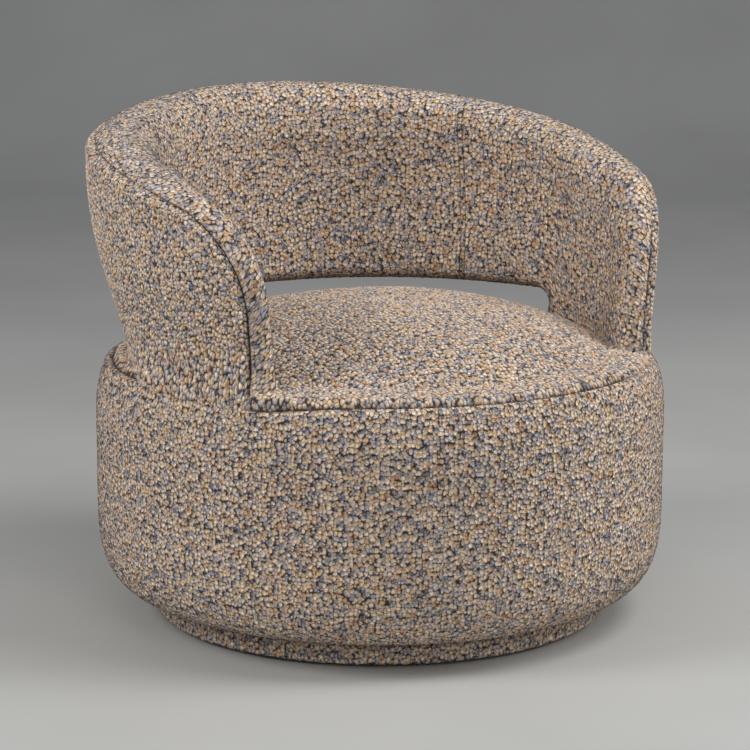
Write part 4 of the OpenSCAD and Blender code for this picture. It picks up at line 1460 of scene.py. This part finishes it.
@dataclass
class BandCover:
    """One of the two covers of the band.

    Attributes:
        band: The band that it covers.
        face: Whether it is the inner or the outer cover.
        reach: Length of its section at the middle of the back, which sets its mesh's fineness.
        stretch: How much longer than the flat drawing the cloth is along the band.
        plump: How far the filling pushes the middle of the cover out.
        plump_rim, plump_foot: Distance from rim and foot where that starts, and the width it takes.
        hem_zone: Width at the foot in which the section is followed in small steps.
        seam_zone: The same on both sides of the outside seam.
        seam_groove, seam_w: Depth of that seam's groove, and its width on the crest and on the arms'
            fronts.
        pressed: Width in which the seam presses the nubs flat, on the crest and on the fronts.
        front_blend: Line where the crest's value starts to go over to the fronts', and how many
            lines it takes.
        right_front: How much wider the right front's seam is pressed, where the left's is with 1.
        welt_rise: Distance from the seam in which the welt beside it rises.
        foot_groove, foot_w: Depth and width of the groove at the foot.
        twin_groove, twin_w: Depth and width of the grooves of the upright twin seams.
        foot_gap, foot_ease: How far the foot's hem may pass the band's middle, and how much less
            the foot presses the nubs flat than the seam does.
        least: Half of the thickness that is left where the foot's groove is deepest.
        twin_sewn, twin_pressed: How flat those press the nubs, and the width in which they do.
        bolt_at: Place on the bolt of cloth, away from where the other covers are cut.
    """

    band: Band
    face: Face
    reach: float
    stretch: float
    plump: float
    plump_rim: tuple = (0.02, 0.05)
    plump_foot: tuple = (0.01, 0.05)
    hem_zone: float = 0.020
    seam_zone: float = 0.0055
    seam_groove: float = 0.0045
    seam_w: tuple = (0.0020, 0.0030)
    pressed: tuple = (0.0010, 0.0019)
    front_blend: tuple = (10.0, 4.0)
    right_front: float = 3.4
    welt_rise: float = 0.003
    foot_groove: float = 0.0040
    foot_w: float = 0.0032
    foot_gap: float = 0.0004
    foot_ease: float = 0.0008
    least: float = 0.0003
    twin_groove: float = 0.0013
    twin_w: float = 0.0014
    twin_sewn: float = 0.62
    twin_pressed: float = 0.0009
    bolt_at: float = 5.0

    def edge_groove(self, down: Array, seam: Array | float, front: Array | float) -> Array:
        """Groove of the seam that joins both covers near the rim, wider down the arms' fronts."""
        return groove(down - seam, self.seam_groove, mix(*self.seam_w, front))

    def marks(self, seam: Array, length: Array) -> Array:
        """Distances down each line at which its section is worked out, close at rim, seam and foot.

        Args:
            seam: Distance of the seam from the rim, one row a line.
            length: Length of each line, one row a line.

        Returns:
            Rising distances from the rim, one row a line.
        """
        rounded = self.band.edge_round
        quarter = np.linspace(0.0, math.pi / 2.0, 34)
        head = np.broadcast_to(rounded * (1.0 - np.cos(quarter)), (len(seam), len(quarter)))
        near = seam + np.linspace(-self.seam_zone, self.seam_zone, 23)
        body = rounded + (length - self.hem_zone - rounded) * np.linspace(0.02, 1.0, 50)
        tail = length - self.hem_zone * (1.0 - np.sin(np.linspace(0.02, math.pi / 2.0, 34)))
        return np.sort(np.concatenate([head, near, body, tail], 1), 1)

    def sections(self, lines: Array, maker: ClothMaker) -> tuple[Array, Array, Array, Array]:
        """Works out the cover's cross-section on each line.

        Args:
            lines: Line of each column.
            maker: What cuts the cloth.

        Returns:
            Distance down the line, offset from the middle of the band, distance along the
            section from the rim or the seam, and nearness of an edge, with one row a line.
        """
        band = self.band
        rim, way, length = band.across(lines)
        seam = band.seam_at(lines)[:, None]
        front = eased(np.abs(lines)[:, None], *self.front_blend)
        down = self.marks(seam, length)
        flat = rim[:, None] + way[:, None] * (down / length)[..., None]
        merged = band.on_arm(flat) * (self.face is Face.OUTER)
        foot = groove(length - down, self.foot_groove, self.foot_w) * (1.0 - merged)
        half = np.maximum(band.half_thick(flat) - foot, self.least)
        plump = self.plump * (eased(down, *self.plump_rim) * eased(length - down, *self.plump_foot))
        if self.face is Face.OUTER:
            welt = groove(down - seam - band.welt_at, band.welt, band.welt_w)
            half = half - self.edge_groove(down, seam, front) + welt * unit((down - seam) / self.welt_rise)
        front = front[:, 0] * np.where(lines > 0.0, self.right_front, 1.0)
        fade = bell(lines + band.fade_line, band.fade_lines)
        middle = maker.stations(self.reach)[1:-1] / self.reach
        return tuple(np.array(t) for t in zip(*(
            self.section(d, h, p, float(s), float(f), float(g), middle)
            for d, h, p, s, f, g in zip(down, half, plump, seam[:, 0], front, fade)
        )))

    def section(
        self, down: Array, half: Array, plump: Array, seam: float, front: float, fade: float, middle: Array
    ) -> tuple[Array, Array, Array, Array]:
        """Follows one cross-section from the seam to the foot, with its edges turned in.

        Args:
            down: Distances down the line.
            half: Half of the band's thickness at each of them.
            plump: How far the filling pushes the cover out there.
            seam: Distance of the seam from the rim.
            front: How far the line belongs to an arm's front, 0 on the crest.
            fade: How far the seam fades there, from 0 to 1.
            middle: Shares of the section at which the mesh has lines between its edges.

        Returns:
            What sections gives, for this line.
        """
        at_seam = float(np.interp(seam, down, half))
        if self.face is Face.INNER:
            flap = down[down < seam][::-1]
            flap_half = np.interp(flap, down, half) - self.edge_groove(flap, seam, front)
            start = at_seam - float(self.edge_groove(seam, seam, front))
            d = np.concatenate([[seam, seam], flap, down])
            y = np.concatenate([[start - HEM, start], flap_half, -half - plump])
            apex = 2 + len(flap)
        else:
            keep = down > seam
            d = np.concatenate([[seam, seam], down[keep]])
            y = np.concatenate([[at_seam - HEM, at_seam], half[keep]])
            apex = 1
        turned_in = self.face.value * max(half[-1] - HEM, -self.foot_gap)
        d, y = np.append(d, down[-1]), np.append(y, turned_in)
        along = run(np.hypot(np.diff(d), np.diff(y)))
        first, last = along[1], along[-2]
        inner = (first + SEAM_STEPS[-1]) + (last - first - 2.0 * SEAM_STEPS[-1]) * middle
        rows = np.concatenate([
            [0.0], [first], first + SEAM_STEPS, inner, last - SEAM_STEPS[::-1], [last], [along[-1]]
        ])
        edge = np.minimum(np.maximum(rows - first, 0.0), np.maximum(last - rows, 0.0) + self.foot_ease)
        sewn = sewn_at(edge, mix(*self.pressed, front)) * (1.0 - self.band.seam_fade * fade)
        return np.interp(rows, along, d), np.interp(rows, along, y), rows - along[apex], sewn

    def build(self, maker: ClothMaker, name: str, node: str) -> bpy.types.Object:
        """Makes the cover.

        Args:
            maker: What cuts and finishes the cloth.
            name: Name of the piece.
            node: Solid that it stands for.

        Returns:
            The finished piece.
        """
        band = self.band
        lines, away = band.columns(maker, band.seam_line)
        down, offset, along, edge = self.sections(lines, maker)
        rim, way, length = band.across(lines)
        way = way / length

        def bend(column: Array, row: Array) -> tuple[Array, Array, Array]:
            """Bends the sheet round the band.

            Args:
                column, row: Numbers of the mesh's lines, from 0.

            Returns:
                Places in space, places on the cloth, and nearness of a seam.
            """
            flat = rim[column] + way[column] * down[column, row][:, None]
            sign = np.where(lines[column] < 0.0, -1.0, 1.0)
            pinch = groove(away[column], self.twin_groove, self.twin_w)
            y = offset[column, row] - np.sign(offset[column, row]) * pinch
            cloth = rim[column] + way[column] * along[column, row][:, None]
            cloth[:, 0] *= sign * self.stretch
            cloth[:, 1] += self.bolt_at + self.face.value
            twin = self.twin_sewn * sewn_at(away[column], self.twin_pressed)
            return band.bent(flat, y, sign), cloth, np.maximum(edge[column, row], twin)

        piece = maker.cut(name, len(lines), down.shape[1], bend)
        if self.face is Face.INNER:
            piece.data.flip_normals()
        settle(piece, Body.SEAT, "boucle_fabric", node)
        return piece


@dataclass
class Topstitch:
    """Rows of thread beside the band's seams.

    Attributes:
        band: The band that is stitched.
        pitch: Distance from one stitch to the next.
        length: Visible length of a stitch.
        thread: Diameter of the thread.
        beside: Distance of the outer row from the seam near the rim.
        sunk: How deep the outer row lies in the nubs.
        lifted: How high the inner rows lie over the cloth.
        last_line: Line on the arms' fronts where the outer row ends.
        end_gap: Share of their line that the inner rows leave free at each end.
    """

    band: Band
    pitch: float = 0.0065
    length: float = 0.0046
    thread: float = 0.0011
    beside: float = 0.0085
    sunk: float = 0.0012
    lifted: float = 0.0006
    last_line: float = 17.6
    end_gap: float = 0.03

    def row(self, flat: Array, side: Side, face: Face, lift: float) -> Array:
        """Follows one row of stitches along the surface.

        Args:
            flat: Places on the flat drawing.
            side: Half of the band that it lies on.
            face: Whether it lies on the inside or the outside.
            lift: Height of the row over the surface.

        Returns:
            Places in space.
        """
        offset = face.value * (self.band.half_thick(flat) + lift)
        return self.band.bent(flat, offset, np.full(len(flat), side.value))

    def rows(self) -> list[Array]:
        """Gives the lines of all rows."""
        band = self.band
        found = []
        for side in Side:
            lines = np.linspace(0.0, self.last_line, 500)
            rim, way, length = band.across(lines)
            down = band.seam_at(lines * side.value) + self.beside
            found.append(self.row(rim + way / length * down[:, None], side, Face.OUTER, -self.sunk))
            top, low = (edge(np.array([band.seam_line]))[0] for edge in (band.rim, band.foot))
            t = np.linspace(self.end_gap, 1.0 - self.end_gap, 200)[:, None]
            for twin in (-band.twin, band.twin):
                flat = top + (low - top) * t + np.array([twin, 0.0])
                found.append(self.row(flat, side, Face.INNER, self.lifted))
        return found

    def build(self, finish: PlainFinish) -> bpy.types.Object:
        """Makes all the stitches as one piece.

        Args:
            finish: Finish of the thread.

        Returns:
            The finished piece.
        """
        shape = bmesh.new()
        size = Matrix.Diagonal((self.thread / 2.0, self.thread / 2.0, self.length / 2.0, 1.0))
        for line in self.rows():
            along = run(np.linalg.norm(np.diff(line, axis=0), axis=1))
            for place in np.arange(self.pitch, along[-1] - self.length, self.pitch):
                ends = ([np.interp(place + w, along, axis) for axis in line.T] for w in (0.0, self.length))
                a, b = map(Vector, ends)
                turn = (b - a).to_track_quat("Z", "Y").to_matrix().to_4x4()
                bmesh.ops.create_icosphere(
                    shape, subdivisions=1, radius=1.0, matrix=Matrix.Translation((a + b) / 2.0) @ turn @ size
                )
        mesh = bpy.data.meshes.new("topstitching")
        shape.to_mesh(mesh)
        shape.free()
        mesh.shade_smooth()
        mesh.materials.append(finish.make())
        piece = bpy.data.objects.new("topstitching", mesh)
        bpy.context.scene.collection.objects.link(piece)
        settle(piece, Body.SEAT, "boucle_fabric")
        return piece


# Room and camera


@dataclass(frozen=True)
class Lamp:
    """A soft round lamp over the chair."""

    name: str
    place: tuple
    watts: float
    tone: tuple = (1.0, 1.0, 1.0)
    size: float = 1.5

    def hang(self, aim: Vector) -> None:
        """Hangs the lamp.

        Args:
            aim: Place that it is turned to.
        """
        lamp = bpy.data.lights.new(self.name, "AREA")
        lamp.shape = "DISK"
        lamp.size = self.size
        lamp.energy = self.watts
        lamp.color = self.tone
        holder = bpy.data.objects.new(self.name, lamp)
        holder.location = self.place
        holder.rotation_euler = (aim - Vector(self.place)).to_track_quat("-Z", "Y").to_euler()
        bpy.context.scene.collection.objects.link(holder)


@dataclass(frozen=True)
class Studio:
    """Plain pale room, soft lamps and the camera of the photograph.

    Attributes:
        lens: Focal length in millimetres.
        camera_place, tilt, turn: Place of the camera and how it is turned, in degrees.
        half_width: Half of the floor's width.
        front_y, wall_y, sweep: Where the floor begins, where the backdrop stands, and the radius of
            the sweep between them, before all of it is turned with the camera.
        wall_h: Height of the backdrop.
        aim_h: Height over the middle of the floor that the lamps are turned to.
        world_light: Strength of the light from all round.
    """

    lens: float = 129.6
    camera_place: tuple = (-1.883, -3.246, 1.079)
    tilt: float = 78.77
    turn: float = -30.0
    half_width: float = 9.0
    front_y: float = -6.0
    wall_y: float = 7.0
    sweep: float = 2.5
    wall_h: float = 9.0
    aim_h: float = 0.35
    world_light: float = 0.38
    lamps: tuple = (
        Lamp("left_lamp", (-2.7, 0.3, 2.0), 47.0, (1.0, 0.99, 0.97)),
        Lamp("right_lamp", (2.6, -1.9, 2.1), 41.0, (1.0, 0.99, 0.97)),
        Lamp("top_lamp", (1.1, -1.3, 2.9), 40.0),
        Lamp("front_lamp", (-0.9, -2.9, 1.6), 14.0),
    )

    def floor(self) -> None:
        """Makes the floor and the backdrop as one swept sheet."""
        shape = bmesh.new()
        ends = [shape.verts.new((x, self.front_y, 0.0)) for x in (-self.half_width, self.half_width)]
        edge = shape.edges.new(ends)
        turn = np.linspace(0.0, math.pi / 2.0, 25)
        sweep_y = self.wall_y - self.sweep + self.sweep * np.sin(turn)
        path = [*zip(sweep_y, self.sweep * (1.0 - np.cos(turn))), (self.wall_y, self.wall_h)]
        for y, z in path:
            made = bmesh.ops.extrude_edge_only(shape, edges=[edge])["geom"]
            ends = [part for part in made if isinstance(part, bmesh.types.BMVert)]
            bmesh.ops.translate(shape, verts=ends, vec=(0.0, y - ends[0].co.y, z - ends[0].co.z))
            edge = shape.edges.get(ends)
        bmesh.ops.rotate(shape, verts=shape.verts, matrix=Matrix.Rotation(math.radians(self.turn), 3, "Z"))
        bmesh.ops.recalc_face_normals(shape, faces=shape.faces)
        mesh = bpy.data.meshes.new("studio_floor")
        shape.to_mesh(mesh)
        shape.free()
        mesh.shade_smooth()
        mesh.materials.append(self.paper())
        floor = bpy.data.objects.new("studio_floor", mesh)
        bpy.context.scene.collection.objects.link(floor)

    def paper(self) -> bpy.types.Material:
        """Builds the finish of the floor and the backdrop, in faintly clouded grey."""
        material, sheet, shader = new_material("studio_floor")
        cloud = sheet.noise(sheet.place(), 1.0 / 1.3, 3.0).outputs[0]
        colour = sheet.blend(sheet.ease(cloud, 0.3, 0.7), srgb(0.70, 0.70, 0.69), srgb(0.73, 0.73, 0.72))
        sheet.put(shader, {"Base Color": colour, "Roughness": 0.7})
        return material

    def light(self) -> None:
        """Hangs the soft lamps and sets the world's light."""
        world = bpy.data.worlds.new("studio_world")
        world.use_nodes = True
        back = world.node_tree.nodes["Background"]
        back.inputs["Color"].default_value = srgb(0.90, 0.91, 0.93)
        back.inputs["Strength"].default_value = self.world_light
        bpy.context.scene.world = world
        for lamp in self.lamps:
            lamp.hang(Vector((0.0, 0.0, self.aim_h)))

    def camera(self) -> None:
        """Sets up the camera."""
        data = bpy.data.cameras.new("camera")
        data.sensor_width = 36.0
        data.lens = self.lens
        camera = bpy.data.objects.new("camera", data)
        camera.location = self.camera_place
        camera.rotation_euler = (math.radians(self.tilt), 0.0, math.radians(self.turn))
        bpy.context.scene.collection.objects.link(camera)
        bpy.context.scene.camera = camera

    def build(self) -> None:
        """Builds the room, the lamps and the camera."""
        bpy.context.scene.view_settings.view_transform = "Standard"
        self.camera()
        self.light()
        self.floor()


def main() -> None:
    """Builds the chair and the room, in order."""
    logging.basicConfig(level=logging.INFO)
    Studio().build()
    dress_nodes()
    fabric = LoopFabric()
    maker = ClothMaker(fabric.make(), NubRelief(fabric.nubs), pitch=0.0020)
    Plinth().build(maker)
    drum, seat, rim = Drum(), Seat(), RimSeam()
    drum.build(maker, rim)
    seat.build(maker, drum.outline(), rim)
    band = Band(seat)
    inner = BandCover(band, Face.INNER, reach=0.40, stretch=0.87, plump=0.0025)
    inner.build(maker, "back_inner_fabric", "back_inner_cover")
    outer = BandCover(band, Face.OUTER, reach=0.34, stretch=1.13, plump=0.0020)
    outer.build(maker, "back_outer_fabric", "back_outer_cover")
    Topstitch(band).build(THREAD)
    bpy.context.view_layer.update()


if __name__ == "__main__":
    main()
